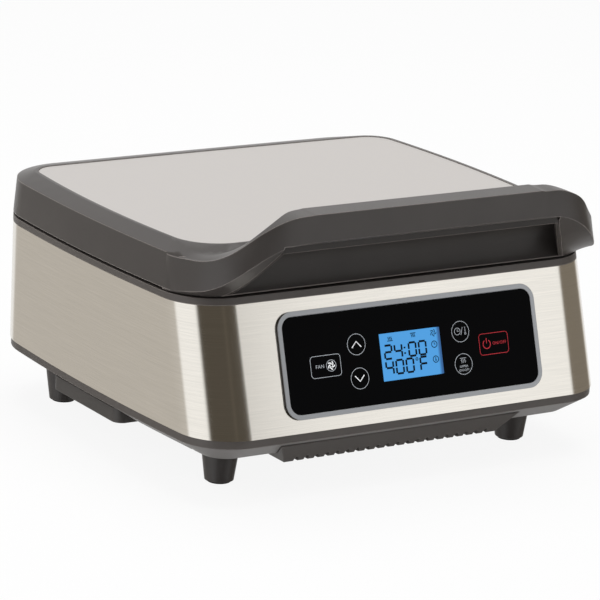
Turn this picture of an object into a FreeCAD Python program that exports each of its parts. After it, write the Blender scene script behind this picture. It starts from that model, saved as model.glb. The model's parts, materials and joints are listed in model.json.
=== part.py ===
import FreeCAD, Part
import math
import os

# A smokeless electric contact grill: steel sided base, hinged lid with a swept handle.
# Millimetres. X to the right, front faces minus Y, Z up, feet stand on z = 0.
# The origin is under the middle of the overall box.

os.makedirs("parts", exist_ok=True)
V = FreeCAD.Vector

# Driving dimensions: overall plan
body_width = 360.0
body_depth = 330.0
hinge_overhang = 4.0
front_radius = 39.0
rear_radius = 56.0
side_bow = 7.4
front_bow = 1.1
rear_bow = 1.3

# Driving dimensions: levels
foot_height = 29.0
pan_floor = 2.5
pan_band_bottom = 42.7
wrap_bottom = 48.7
wrap_top = 139.3
rim_top = 144.2
lid_gap = 2.2
lid_wall_height = 25.5
lid_bevel_height = 5.6
front_lean = 29.1

# Driving dimensions: shells
wrap_thickness = 0.8
pan_inset = 0.8
pan_wall = 2.5
pan_chamfer_inset = 22.0
pan_lip_height = 5.0
pan_lip_root = 4.0
pan_lip_wall = 2.0
lid_lean = 2.0
lid_wall = 3.0
lid_roof = 2.0
rim_flange_width = 15.0
rim_skirt = 2.5
rim_ledge_width = 6.5
rim_ledge_height = 2.5
rim_ledge_top = 133.0
rim_lip_height = 7.0
rim_lip_inset = 1.3
rim_lip_wall = 2.0

# Driving dimensions: steel plate on the lid
plate_side_margin = 17.0
plate_front_margin = 20.9
plate_rear_margin = 28.7
plate_front_radius = 31.7
plate_rear_radius = 19.6
plate_thickness = 1.5
plate_recess = 0.4
plate_rim_width = 2.5
plate_clearance = 0.3

# Driving dimensions: handle
handle_setback = 0.4
handle_straight_left = 94.0
handle_straight_right = 99.0
handle_top_depth = 17.8
handle_top_rise = 0.6
handle_back_hollow = 2.2
handle_land = 8.0
handle_land_rise = 1.7
handle_lip_bevel = 1.0
handle_bend_start = 74.0
handle_bend_end = 40.0
handle_wall = 3.0
handle_sink = 0.4
# Sweep of the handle in equal steps from its straight part to the side wall: level of the
# face's lower edge, level of its upper edge, how far it leans back, share of the top's depth
handle_sweep = [
    (187.0, 207.0, 0.0, 1.0),
    (186.6, 206.5, 0.0, 0.88),
    (184.9, 204.5, 0.3, 0.60),
    (181.0, 200.4, 1.0, 0.34),
    (175.2, 194.2, 2.6, 0.20),
    (168.4, 187.0, 4.2, 0.14),
    (161.4, 180.8, 4.0, 0.12),
    (155.3, 175.9, 3.0, 0.12),
    (151.2, 172.7, 2.5, 0.12),
    (148.2, 171.4, 2.1, 0.12),
    (146.4, 171.0, 1.93, 0.12),
]
recess_end_left = 118.0
recess_end_right = 116.0
recess_end_back_rate = 0.66
recess_end_down_rate = 0.23
recess_reach = 165.0
recess_liner = 2.4
recess_gap = 0.3
recess_forward = 16.0
recess_middle = 160.1
recess_radius = 20.8
strip_setback = 3.3
strip_height = 6.6
strip_tongue = 1.0

# Driving dimensions: control panel, measured up the leaning front
panel_centre = 2.5
panel_width = 221.0
panel_height = 76.6
panel_low = 9.5
panel_radius = 12.0
bezel_width = 3.6
bezel_proud = 1.6
bezel_neck = 4.0
bezel_ledge = 3.0
glass_thickness = 2.7
glass_proud = 1.2
lcd_width = 51.8
lcd_height = 33.6
lcd_low = 28.7
lcd_shift = -1.0
board_thickness = 1.6

# Driving dimensions: feet
foot_front_side = 53.0
foot_rear_side = 44.0
foot_front_inset = 59.5
foot_rear_inset = 55.0
foot_top_radius = 14.3
foot_bottom_radius = 10.6
foot_pad_radius = 8.6
foot_pad_height = 3.0
foot_pad_drop = 1.6

# Driving dimensions: drip tray and runners
tray_front = -37.0
tray_rear = 62.0
tray_face = 8.0
tray_length = 138.0
tray_bottom = 27.0
tray_top = 38.0
tray_wall = 2.0
tray_flange = 3.2
tray_flange_thickness = 1.5
tray_flange_start = 16.0
tray_corner = 8.0
tray_gap = 0.6
runner_gap = 0.3
runner_width = 3.6

# Driving dimensions: fan, filter and vents
fan_x = 75.0
fan_y = 40.0
fan_size = 92.0
fan_depth = 25.0
fan_bore = 42.0
fan_tip_gap = 1.5
fan_hub = 18.0
fan_blades = 7
fan_blade_thickness = 1.4
fan_blade_pitch = 35.0
fan_motor_radius = 14.0
fan_shaft_radius = 1.5
filter_thickness = 6.0
grille_pitch = 7.0
grille_slot_half = 1.6
grille_edge = 3.0
vent_pitch = 8.6
vent_count = 21
vent_centre = -6.9
vent_tooth = 5.2
vent_tooth_height = 4.0
vent_low = 21.8
vent_wall = 2.5
vent_front_inset = 6.0
vent_toe_inset = 20.0
vent_back_inset = 42.0
vent_end_slant = 14.0
air_slot_half = 1.8
air_slot_front = 27.0
air_slot_back = 38.0
rear_slot_count = 12
rear_slot_start = -110.0
rear_slot_pitch = 11.0
rear_slot_width = 4.0
rear_slot_low = 78.0
rear_slot_high = 112.0

# Driving dimensions: inner tray of the lid
liner_lift = 0.4
liner_sheet = 2.5
liner_skirt = 2.5
liner_step = 5.0
liner_ledge_end = 12.0
upper_back_rise = 9.3
reflector_clearance = 2.7

# Driving dimensions: cooking plates and heaters
plate_seat_gap = 0.8
plate_floor = 3.5
ridge_pitch = 12.6
ridge_width = 4.4
ridge_height = 5.0
ridge_margin = 14.0
plate_rim = 3.0
plate_rim_height = 6.0
upper_rim_height = 4.0
heater_radius = 3.5
heater_gap = 0.3
heater_margin = 52.0
heater_bend = 25.0
heater_tail_half = 15.0
heater_tail = 24.0
reflector_sheet = 0.8
reflector_depth = 18.0
drain_x = -100.0
drain_y = 15.0
drain_radius = 7.0
chute_radius = 14.0
chute_wall = 1.0

# Driving dimensions: hinge
hinge_inset = 1.5
hinge_rise = 3.8
hinge_x = 100.0
ear_radius = 5.5
ear_width = 8.0
pin_radius = 2.0
pin_gap = 0.08
leaf_radius = 4.8
leaf_width = 8.0
leaf_gap = 0.4
leaf_reach = 14.0
leaf_plate = 3.0

# Driving dimensions: plate catches, fasteners and small parts
catch_width = 24.0
catch_length = 12.0
catch_travel = 4.0
catch_lap = 2.5
catch_gap = 0.15
catch_thickness = 1.5
upper_catch_thickness = 1.0
catch_rib = 1.3
screw_radius = 1.7
screw_head_radius = 3.4
screw_head_height = 2.2
screw_gap = 0.15
pillar_radius = 3.5
pillar_inset = 10.7
pillar_joint = 46.0
pillar_joint_gap = 0.2
pan_screw_seat = 39.0
bumper_radius = 3.0
probe_radius = 4.0
board_width = 110.0
board_depth = 60.0
board_standoff = 4.5
board_left = 10.0
board_front_inset = 49.0
inlet_x = 96.0
inlet_z = 78.0
inlet_width = 48.0
inlet_height = 27.0

# Worked out from the driving dimensions
half_width = body_width / 2.0
base_front = -(body_depth + hinge_overhang) / 2.0
base_rear = base_front + body_depth
lid_bottom = rim_top + lid_gap
crease_z = lid_bottom + lid_wall_height
lid_top = crease_z + lid_bevel_height
slope = front_lean / (wrap_top - wrap_bottom)
lean_angle = math.degrees(math.atan(slope))
handle_low = handle_sweep[0][0]
handle_front = base_front + handle_setback
pan_top = foot_height + pan_floor


def front_at(z):
    """Where the leaning front of the body lies at a height."""
    return base_front + slope * (max(z, wrap_bottom) - wrap_bottom)


def arc_through(a, b, c):
    return Part.Arc(a, b, c).toShape()


def bowed_side(a, b, bow, out):
    """Circle through two corners that stands out by bow in the middle."""
    chord = (b - a).Length / 2.0
    radius = (chord * chord + bow * bow) / (2.0 * bow)
    middle = (a + b) * 0.5
    return middle - out * (radius - bow), radius


def corner_circle(first, second, radius, corner):
    """Centre of the corner that rounds two bowed sides."""
    (c1, r1), (c2, r2) = first, second
    d = (c2 - c1).Length
    a = r1 - radius
    b = r2 - radius
    along = (d * d + a * a - b * b) / (2.0 * d)
    off = math.sqrt(max(a * a - along * along, 0.0))
    e = (c2 - c1) * (1.0 / d)
    n = V(-e.y, e.x, 0)
    options = [c1 + e * along + n * off, c1 + e * along - n * off]
    return min(options, key=lambda p: (p - corner).Length)


def plan(half, front, rear, radius_front, radius_rear):
    """Sides and corners of a bowed, rounded rectangle, seen from above."""
    x = half - side_bow
    corners = [V(x, front + front_bow, 0), V(x, rear - rear_bow, 0)]
    corners += [V(-x, rear - rear_bow, 0), V(-x, front + front_bow, 0)]
    outs = [V(1, 0, 0), V(0, 1, 0), V(-1, 0, 0), V(0, -1, 0)]
    bows = [side_bow, rear_bow, side_bow, front_bow]
    radii = [radius_rear, radius_rear, radius_front, radius_front]
    sides = []
    for i in range(4):
        sides.append(bowed_side(corners[i], corners[(i + 1) % 4], bows[i], outs[i]))
    rounds = []
    for i in range(4):
        centre = corner_circle(sides[i], sides[(i + 1) % 4], radii[i], corners[(i + 1) % 4])
        rounds.append((centre, radii[i]))
    return sides, rounds, outs


def on_circle(centre, radius, towards):
    d = towards - centre
    d.z = 0
    d.normalize()
    return centre + d * radius


def outline(shape_plan, z, inset=0.0):
    """Closed wire of four bowed sides and four corner arcs, drawn in by inset."""
    sides, rounds, outs = shape_plan
    edges = []
    up = V(0, 0, z)
    for i in range(4):
        centre, radius = sides[i]
        before, after = rounds[i - 1], rounds[i]
        start = centre + (before[0] - centre) * (radius / (before[0] - centre).Length)
        end = centre + (after[0] - centre) * (radius / (after[0] - centre).Length)
        shrink = (radius - inset) / radius
        start = centre + (start - centre) * shrink
        end = centre + (end - centre) * shrink
        middle = on_circle(centre, radius - inset, (start + end) * 0.5)
        edges.append(arc_through(start + up, middle + up, end + up))
        nxt, nxt_radius = sides[(i + 1) % 4]
        other = nxt + (after[0] - nxt) * (nxt_radius / (after[0] - nxt).Length)
        other = nxt + (other - nxt) * ((nxt_radius - inset) / nxt_radius)
        round_radius = after[1] - inset
        middle = on_circle(after[0], round_radius, (end + other) * 0.5)
        edges.append(arc_through(end + up, middle + up, other + up))
    return Part.Wire(edges)


def body_plan(z):
    return plan(half_width, front_at(z), base_rear, front_radius, rear_radius)


def body_outline(z, inset=0.0):
    return outline(body_plan(z), z, inset)


def lid_outline(z, inset=0.0):
    """Outline of the lid's own plan, which keeps the size it has at the gap."""
    return outline(body_plan(lid_bottom), z, inset)


def steel_plan(grow=0.0):
    front = front_at(lid_bottom) + plate_front_margin
    rear = base_rear - plate_rear_margin
    half = half_width - plate_side_margin
    return plan(half + grow, front - grow, rear + grow,
                plate_front_radius + grow, plate_rear_radius + grow)


def loft(wires):
    return Part.makeLoft(wires, True, True)


def slab(wire, height):
    return Part.Face(wire).extrude(V(0, 0, height))


def box(x0, x1, y0, y1, z0, z1):
    return Part.makeBox(x1 - x0, y1 - y0, z1 - z0, V(x0, y0, z0))


def rod(radius, height, x, y, z, direction=V(0, 0, 1)):
    return Part.makeCylinder(radius, height, V(x, y, z), direction)


def polygon(points, x0, x1):
    """Prism along X from points given as (y, z)."""
    corners = [V(x0, y, z) for y, z in points]
    wire = Part.makePolygon(corners + [corners[0]])
    return Part.Face(wire).extrude(V(x1 - x0, 0, 0))


def rounded_block(width, height, radius, z0, z1):
    """Upright block with rounded corners about the local origin."""
    solid = box(-width / 2, width / 2, -height / 2, height / 2, z0, z1)
    upright = [e for e in solid.Edges if abs(e.tangentAt(e.FirstParameter).z) > 0.9]
    return solid.makeFillet(radius, upright)


def mirrored(shape):
    return shape.mirror(V(0, 0, 0), V(1, 0, 0))


def fuse(first, *others):
    result = first
    for other in others:
        result = result.fuse(other)
    return result.removeSplitter()


def save(name, shape):
    shape.exportStep("parts/" + name + ".step")
    print(name, len(shape.Solids), round(shape.Volume / 1000.0, 2), shape.isValid())


def corner_spot(z, side, rear, inset):
    """A point on the diagonal of a body corner."""
    centre, radius = body_plan(z)[1][1 if rear else 2]
    reach = (radius - inset) * math.sqrt(0.5)
    x = abs(centre.x) + reach
    y = centre.y + (reach if rear else -reach)
    return side * x, y


def pillar_spots():
    spots = []
    for side in (-1, 1):
        for rear in (False, True):
            spots.append(corner_spot(lid_bottom, side, rear, pillar_inset))
    return spots


# Base shells

def pan_outer():
    bottom = outline(body_plan(wrap_bottom), foot_height, pan_chamfer_inset)
    low = outline(body_plan(wrap_bottom), pan_band_bottom, pan_inset)
    high = outline(body_plan(wrap_bottom), wrap_bottom, pan_inset)
    return fuse(loft([bottom, low]), loft([low, high]))


def pan_inner():
    p = body_plan(wrap_bottom)
    wall = pan_inset + pan_wall
    bottom = outline(p, pan_top, pan_chamfer_inset + pan_wall / 2)
    low = outline(p, pan_band_bottom + pan_wall / 2, wall)
    high = outline(p, wrap_bottom + 1.0, wall)
    return fuse(loft([bottom, low]), loft([low, high]))


def tray_opening():
    """Way through the pan for the tray and its side flanges."""
    y0 = tray_front - tray_gap
    y1 = tray_rear + tray_gap
    x0 = -half_width - 1.0
    x1 = -half_width + tray_face + tray_length + tray_gap
    wide = tray_flange + tray_gap
    flange_low = tray_top - tray_flange_thickness - runner_gap
    lower = box(x0, x1, y0, y1, foot_height - 5.0, pan_band_bottom)
    upper = box(x0, x1, y0 - wide, y1 + wide, flange_low, pan_band_bottom)
    return fuse(lower, upper)


def base_pan():
    outer = pan_outer()
    pan = outer.cut(pan_inner())
    p = body_plan(wrap_bottom)
    lip_inset = pan_inset + pan_wall
    lip_low = wrap_bottom - pan_lip_root
    lip_tall = pan_lip_root + pan_lip_height
    lip = slab(outline(p, lip_low, lip_inset), lip_tall)
    lip = lip.cut(slab(outline(p, lip_low - 1.0, lip_inset + pan_lip_wall), lip_tall + 2.0))
    pan = fuse(pan, lip)
    for x, y in pillar_spots():
        boss = rod(pillar_radius + 1.5, pillar_joint - foot_height, x, y, foot_height)
        pan = pan.fuse(boss.common(fuse(outer, slab(outline(p, wrap_bottom, lip_inset), 5.0))))
    pan = pan.cut(tray_opening())
    for x, y in pillar_spots():
        pan = pan.cut(rod(screw_radius + screw_gap, 30.0, x, y, foot_height - 1.0))
        seat = pan_screw_seat - foot_height + 1.0
        pan = pan.cut(rod(screw_head_radius + screw_gap, seat, x, y, foot_height - 1.0))
    pan = pan.cut(fan_grille())
    pan = pan.cut(front_air_slots())
    for x, y in foot_spots():
        pan = pan.cut(rod(screw_radius + screw_gap, pan_floor + 2.0, x, y, foot_height - 1.0))
    return pan.removeSplitter()


def fan_grille():
    bars = None
    pitch = grille_pitch
    count = int(fan_bore / pitch)
    for i in range(-count, count + 1):
        reach = math.sqrt(max((fan_bore - grille_edge) ** 2 - (i * pitch) ** 2, 0.0))
        if reach > 6.0:
            y = fan_y + i * pitch
            bar = box(fan_x - reach, fan_x + reach, y - grille_slot_half, y + grille_slot_half,
                      foot_height - 1, pan_top + 1)
            bars = bar if bars is None else bars.fuse(bar)
    return bars


def vent_xs():
    start = vent_centre - vent_pitch * (vent_count - 1) / 2.0
    return [start + i * vent_pitch for i in range(vent_count)]


def front_air_slots():
    slots = None
    for x in vent_xs()[1:-1:2]:
        slot = box(x - air_slot_half, x + air_slot_half, base_front + air_slot_front,
                   base_front + air_slot_back, foot_height - 1, pan_top + 1)
        slots = slot if slots is None else slots.fuse(slot)
    return slots


def front_vent():
    """Toothed air grille under the front edge of the pan."""
    y0 = base_front + pan_inset
    drop = (pan_band_bottom - foot_height) / (pan_chamfer_inset - pan_inset)
    seat = 0.05
    front = base_front + vent_front_inset
    front_z = pan_band_bottom - drop * (front - y0) - seat
    chamfer_end = base_front + pan_chamfer_inset
    toe = base_front + vent_toe_inset
    back = base_front + vent_back_inset
    profile = [(front, front_z), (chamfer_end, foot_height - seat), (back, foot_height - seat)]
    profile += [(back, vent_low), (toe, vent_low)]
    xs = vent_xs()
    x0 = xs[0] - vent_tooth
    x1 = xs[-1] + vent_tooth
    reach = vent_end_slant
    shell = polygon(profile, x0 - reach, x1 + reach)
    ends = [V(x0 - reach, front - 1, pan_band_bottom), V(x0, front - 1, vent_low)]
    ends += [V(x1, front - 1, vent_low), V(x1 + reach, front - 1, pan_band_bottom)]
    cheeks = Part.Face(Part.makePolygon(ends + [ends[0]])).extrude(V(0, back - front + 2, 0))
    shell = shell.common(cheeks)
    shell = shell.cut(box(x0 + vent_wall, x1 - vent_wall, toe + vent_wall, back - vent_wall,
                          vent_low + vent_wall / 2, foot_height + 1))
    gap = (vent_pitch - vent_tooth) / 2.0
    arch = vent_low + vent_tooth_height - gap
    for x in xs[:-1]:
        middle = x + vent_pitch / 2.0
        length = back - 2 * vent_wall - front
        notch = box(middle - gap, middle + gap, front, front + length, vent_low - 1, arch)
        shell = shell.cut(fuse(notch, rod(gap, length, middle, front, arch, V(0, 1, 0))))
    return shell


def steel_wrap():
    outer = loft([body_outline(wrap_bottom), body_outline(wrap_top)])
    inner = loft([body_outline(wrap_bottom, wrap_thickness), body_outline(wrap_top, wrap_thickness)])
    band = outer.cut(inner)
    window = rounded_block(panel_width - 4.0, panel_height - 4.0, panel_radius - 2.0, -14.0, 8.0)
    band = band.cut(on_panel(window, panel_height / 2.0 + panel_low))
    socket = box(inlet_x - inlet_width / 2 + 4, inlet_x + inlet_width / 2 - 4, base_rear - 6,
                 base_rear + 2, inlet_z - inlet_height / 2 + 3, inlet_z + inlet_height / 2 - 3)
    band = band.cut(socket)
    for i in range(rear_slot_count):
        x = rear_slot_start + i * rear_slot_pitch
        band = band.cut(box(x, x + rear_slot_width, base_rear - 6, base_rear + 2,
                            rear_slot_low, rear_slot_high))
    return band


def base_rim():
    """Top ring of the base with the well, the ledge for the plate and four pillars."""
    ring = loft([body_outline(wrap_top), body_outline(rim_top)])
    skirt_low = rim_ledge_top - rim_ledge_height
    skirt = slab(lid_outline(skirt_low, rim_flange_width), rim_top - skirt_low)
    ring = fuse(ring, skirt)
    ring = ring.cut(slab(lid_outline(rim_ledge_top, rim_flange_width + rim_skirt), 30.0))
    ring = ring.cut(slab(lid_outline(skirt_low - 1, rim_flange_width + rim_skirt + rim_ledge_width), 30.0))
    lip_outer = loft([body_outline(wrap_top - rim_lip_height, rim_lip_inset),
                      body_outline(wrap_top, rim_lip_inset)])
    lip_wall = rim_lip_inset + rim_lip_wall
    lip_inner = loft([body_outline(wrap_top - rim_lip_height, lip_wall), body_outline(wrap_top, lip_wall)])
    ring = fuse(ring, lip_outer.cut(lip_inner))
    for x, y in pillar_spots():
        post_low = pillar_joint + pillar_joint_gap
        post = rod(pillar_radius, rim_top - 2.0 - post_low, x, y, post_low)
        ring = ring.fuse(post)
    for x, y in pillar_spots():
        ring = ring.cut(rod(screw_radius + screw_gap, 20.0, x, y, 40.0))
    ring = ring.cut(lower_catch_pocket())
    return ring.removeSplitter()


# Control panel on the leaning front

def on_panel(shape, up_slope):
    """Put a shape drawn flat, face outward along local Z, on the leaning front."""
    placed = shape.copy()
    placed.translate(V(panel_centre, up_slope, 0))
    placed.rotate(V(0, 0, 0), V(1, 0, 0), 90.0 - lean_angle)
    placed.translate(V(0, base_front, wrap_bottom))
    return placed


def control_bezel():
    middle = panel_low + panel_height / 2.0
    lift = 0.1
    ring = rounded_block(panel_width, panel_height, panel_radius, lift, bezel_proud)
    neck = rounded_block(panel_width - 4.6, panel_height - 4.6, panel_radius - 2.3, -bezel_neck, lift)
    ring = fuse(ring, neck)
    hole = rounded_block(panel_width - 2 * bezel_width, panel_height - 2 * bezel_width,
                         panel_radius - bezel_width, glass_proud - glass_thickness, bezel_proud + 1)
    through = rounded_block(panel_width - 2 * (bezel_width + bezel_ledge),
                            panel_height - 2 * (bezel_width + bezel_ledge),
                            panel_radius - bezel_width - bezel_ledge, -bezel_neck - 1, bezel_proud)
    ring = ring.cut(hole).cut(through)
    for sx in (-1, 1):
        for sy in (-1, 1):
            x = sx * (panel_width / 2 - bezel_width - bezel_ledge + 0.5)
            y = sy * (panel_height / 2 - bezel_width - bezel_ledge - 6.0)
            ring = ring.fuse(box(x - 1.5, x + 1.5, y - 3, y + 3, board_front(), -bezel_neck))
    return on_panel(ring.removeSplitter(), middle)


def board_front():
    return -bezel_neck - 2.3


def control_glass():
    middle = panel_low + panel_height / 2.0
    grow = 2 * (bezel_width + plate_clearance)
    glass = rounded_block(panel_width - grow, panel_height - grow,
                          panel_radius - bezel_width - plate_clearance,
                          glass_proud - glass_thickness, glass_proud)
    window_y = lcd_low + lcd_height / 2.0 - middle
    window = box(-lcd_width / 2 - 0.2, lcd_width / 2 + 0.2, window_y - lcd_height / 2 - 0.2,
                 window_y + lcd_height / 2 + 0.2, -5, 5)
    window.translate(V(lcd_shift, 0, 0))
    return on_panel(glass.cut(window), middle)


def lcd_module():
    middle = lcd_low + lcd_height / 2.0
    face = box(-lcd_width / 2, lcd_width / 2, -lcd_height / 2, lcd_height / 2, -2.4, glass_proud - 0.1)
    body = box(-lcd_width / 2 - 4, lcd_width / 2 + 4, -lcd_height / 2 - 3, lcd_height / 2 + 3,
               board_front(), -2.2)
    module = fuse(face, body)
    module.translate(V(lcd_shift, 0, 0))
    return on_panel(module, middle)


def touch_board():
    middle = panel_low + panel_height / 2.0
    width = panel_width - 2 * (bezel_width + bezel_ledge) + 3.0
    height = panel_height - 2 * (bezel_width + bezel_ledge) - 4.0
    board = box(-width / 2, width / 2, -height / 2, height / 2,
                board_front() - board_thickness, board_front())
    for i in range(4):
        x = -72.0 + i * 44.0
        chip = box(x, x + 12, -9, 3, board_front() - board_thickness - 2.0,
                   board_front() - board_thickness)
        board = board.fuse(chip)
    return on_panel(board.removeSplitter(), middle)


# Lid

def lid_ring():
    crease = lid_outline(crease_z, lid_lean)
    top = outline(steel_plan(plate_rim_width), lid_top)
    return fuse(loft([lid_outline(lid_bottom), crease]), loft([crease, top]))


def roof_under():
    """Underside of the lid's roof, below the steel plate."""
    return lid_top - plate_recess - plate_thickness - lid_roof


def lid_cavity():
    roof_z = roof_under()
    low = lid_outline(lid_bottom - 1.0, lid_wall)
    crease = lid_outline(crease_z - 1.0, lid_lean + lid_wall)
    top = outline(steel_plan(-1.0), roof_z)
    return fuse(loft([low, crease]), loft([crease, top]))


def bezier(points, t):
    s = 1.0 - t
    return (points[0] * (s ** 3) + points[1] * (3 * s * s * t)
            + points[2] * (3 * s * t * t) + points[3] * (t ** 3))


def lid_corner_start(inset):
    """Where the left side wall meets the front left corner, and its outward normal."""
    sides, rounds, outs = body_plan(lid_bottom)
    side_centre, side_radius = sides[2]
    corner_centre = rounds[2][0]
    normal = corner_centre - side_centre
    normal.normalize()
    return side_centre + normal * (side_radius - inset), normal


def ring_path(fraction, inset, z, straight_half):
    """Point on the left half of the lid front, from the straight part round the corner."""
    sides, rounds, outs = body_plan(lid_bottom)
    centre, radius = rounds[2]
    front_centre, front_circle = sides[3]
    first = centre - front_centre
    first.normalize()
    start_angle = math.atan2(first.y, first.x)
    end, normal = lid_corner_start(0)
    end_angle = math.atan2(normal.y, normal.x)
    if end_angle > 0:
        end_angle -= 2 * math.pi
    if start_angle > 0:
        start_angle -= 2 * math.pi
    corner_length = abs(end_angle - start_angle) * radius
    straight = abs(centre.x) - straight_half
    travelled = fraction * (straight + corner_length)
    if travelled <= straight:
        x = -straight_half - travelled
        y = front_at(lid_bottom) + inset
        return V(x, y, z)
    angle = start_angle + (end_angle - start_angle) * (travelled - straight) / corner_length
    return V(centre.x + (radius - inset) * math.cos(angle), centre.y + (radius - inset) * math.sin(angle), z)


def handle_path(t, straight_half):
    """Plan point and outward normal of the swept face, from the straight part to the side wall."""
    end, normal = lid_corner_start(handle_sink)
    tangent = V(normal.y, -normal.x, 0)
    if tangent.y > 0:
        tangent = tangent * -1.0
    start = V(-straight_half, handle_front, 0)
    points = [start, start + V(-handle_bend_end, 0, 0), end + tangent * handle_bend_start, end]
    here = bezier(points, t)
    s = 1.0 - t
    ahead = ((points[1] - points[0]) * (s * s) + (points[2] - points[1]) * (2 * s * t)
             + (points[3] - points[2]) * (t * t))
    ahead.normalize()
    out = V(-ahead.y, ahead.x, 0)
    if out.dot(V(-1, -1, 0)) < 0:
        out = out * -1.0
    return here, out


def handle_section(step, straight_half):
    """Section of the handle at a step of its sweep: face, top, hollow back, root and fairing."""
    t = step / (len(handle_sweep) - 1)
    here, out = handle_path(t, straight_half)
    low, high, lean, share = handle_sweep[step]
    a = here + V(0, 0, low)
    b = here - out * lean + V(0, 0, high)
    c = here - out * (lean + handle_top_depth * share) + V(0, 0, high + handle_top_rise * share)
    d = ring_path(t, lid_lean + handle_land, crease_z + handle_land_rise, straight_half)
    e = ring_path(t, 4.0, lid_bottom - 1.0, straight_half)
    f = ring_path(t, 0.25, lid_bottom - 1.0, straight_half)
    middle = (c + d) * 0.5 + (out - V(0, 0, 0.5)) * (handle_back_hollow * share)
    return a, b, c, middle, d, e, f


def section_wire(points):
    a, b, c, middle, d, e, f = points
    edges = [Part.LineSegment(a, b).toShape(), Part.LineSegment(b, c).toShape()]
    edges.append(Part.Arc(c, middle, d).toShape())
    edges += [Part.LineSegment(d, e).toShape(), Part.LineSegment(e, f).toShape()]
    edges.append(Part.LineSegment(f, a).toShape())
    return Part.Wire(edges)


def recess_centre():
    return front_at(lid_bottom) - recess_forward


def recess_profile(radius, top, front, x0, x1, floor):
    """Region in front of and under a cove, from the finger space to the open front."""
    cy = recess_centre()
    cz = recess_middle
    y_low = cy + math.sqrt(radius ** 2 - (cz - floor) ** 2)
    up = top - cz
    y_top = cy + math.sqrt(max(radius ** 2 - up ** 2, 0.0)) if radius > up else cy
    a = V(x0, y_low, floor)
    b = V(x0, cy + radius * math.cos(math.radians(10)), cz + radius * math.sin(math.radians(10)))
    c = V(x0, y_top, top)
    edges = [Part.Arc(a, b, c).toShape(), Part.LineSegment(c, V(x0, front, top)).toShape()]
    edges.append(Part.LineSegment(V(x0, front, top), V(x0, front, floor)).toShape())
    edges.append(Part.LineSegment(V(x0, front, floor), a).toShape())
    return Part.Face(Part.Wire(edges)).extrude(V(x1 - x0, 0, 0))


def strip_low():
    return handle_low - strip_height


def behind_face(inset, z0, z1):
    """Block whose front follows the swept face of the handle, inset from it."""
    curves = []
    ends = []
    for straight_half, side in ((handle_straight_left, 1), (handle_straight_right, -1)):
        points = []
        for i in range(9):
            here, out = handle_path(i / 8.0, straight_half)
            p = here - out * inset
            points.append(V(side * p.x, p.y, z0))
        curve = Part.BSplineCurve()
        curve.interpolate(points)
        curves.append(curve.toShape())
        ends.append((points[0], points[-1]))
    (left_near, left_far), (right_near, right_far) = ends
    edges = [curves[0], Part.LineSegment(left_near, right_near).toShape(), curves[1]]
    edges.append(Part.LineSegment(right_far, left_far).toShape())
    return slab(Part.Wire(Part.__sortEdges__(edges)), z1 - z0)


def between_ends(inset, z0, z1):
    """Block between the slanting ends of the finger space, which widens backwards and downwards."""
    near = handle_front + strip_setback
    far = front_at(lid_bottom) + rim_flange_width
    ahead = near - 10.0
    slant = inset * math.sqrt(1.0 + recess_end_back_rate ** 2 + recess_end_down_rate ** 2)
    wires = []
    for z in (z0, z1):
        grow = recess_end_down_rate * (handle_low - z) - slant
        left = recess_end_left + grow
        right = recess_end_right + grow
        spread = recess_end_back_rate * (far - near)
        points = [V(-left, near, z), V(-left, ahead, z), V(right, ahead, z), V(right, near, z)]
        points += [V(right + spread, far, z), V(-left - spread, far, z)]
        wires.append(Part.makePolygon(points + [points[0]]))
    return loft(wires)


def recess_cut(extra):
    """All that is taken out of the lid frame for the finger space and its liner."""
    thick = recess_liner + extra
    floor = lid_bottom - 2.0
    top = handle_low + 10.0
    w = recess_reach
    cove = recess_profile(recess_radius + thick, strip_low() + thick, handle_front - 5.0, -w, w, floor)
    lip = handle_low - handle_lip_bevel
    keep_front = box(-w, w, handle_front - 6.0, handle_front + strip_setback - recess_gap, lip, top + 10.0)
    tongue = box(-w, w, handle_front + strip_setback - extra, handle_front + strip_setback + thick,
                 strip_low(), handle_low + strip_tongue + extra)
    inside = behind_face(strip_setback - extra, floor - 1.0, top)
    under = box(-w, w, handle_front - 5.0, handle_front + strip_setback + thick, floor, lip)
    open_front = fuse(fuse(cove, tongue).common(inside), under)
    return open_front.common(between_ends(-extra, floor - 1.0, top + 10.0)).cut(keep_front)


def handle_body():
    """Swept left end, straight middle and swept right end of the handle."""
    ends = []
    for straight_half in (handle_straight_left, handle_straight_right):
        wires = [section_wire(handle_section(step, straight_half)) for step in range(len(handle_sweep))]
        ends.append(Part.makeLoft(wires, True, False))
    first = section_wire(handle_section(0, handle_straight_left))
    middle = Part.Face(first).extrude(V(handle_straight_left + handle_straight_right, 0, 0))
    return ends[0], middle, mirrored(ends[1])


def handle_cavity():
    a, b, c, middle, d, e, f = handle_section(0, handle_straight_left)
    w = handle_wall
    y_front = a.y + strip_setback + recess_liner + 0.6
    profile = [(y_front, strip_low() + recess_liner), (y_front, b.z - w), (c.y - w * 0.6, c.z - w - 0.4)]
    profile += [(c.y + 3.0, c.z - 22.0), (c.y + 1.0, strip_low() + recess_liner)]
    return polygon(profile, w - handle_straight_left, handle_straight_right - w)


def handle_screw_xs():
    return [-80.0, 0.0, 80.0]


def handle_screw_y():
    return handle_front + 12.0


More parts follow.
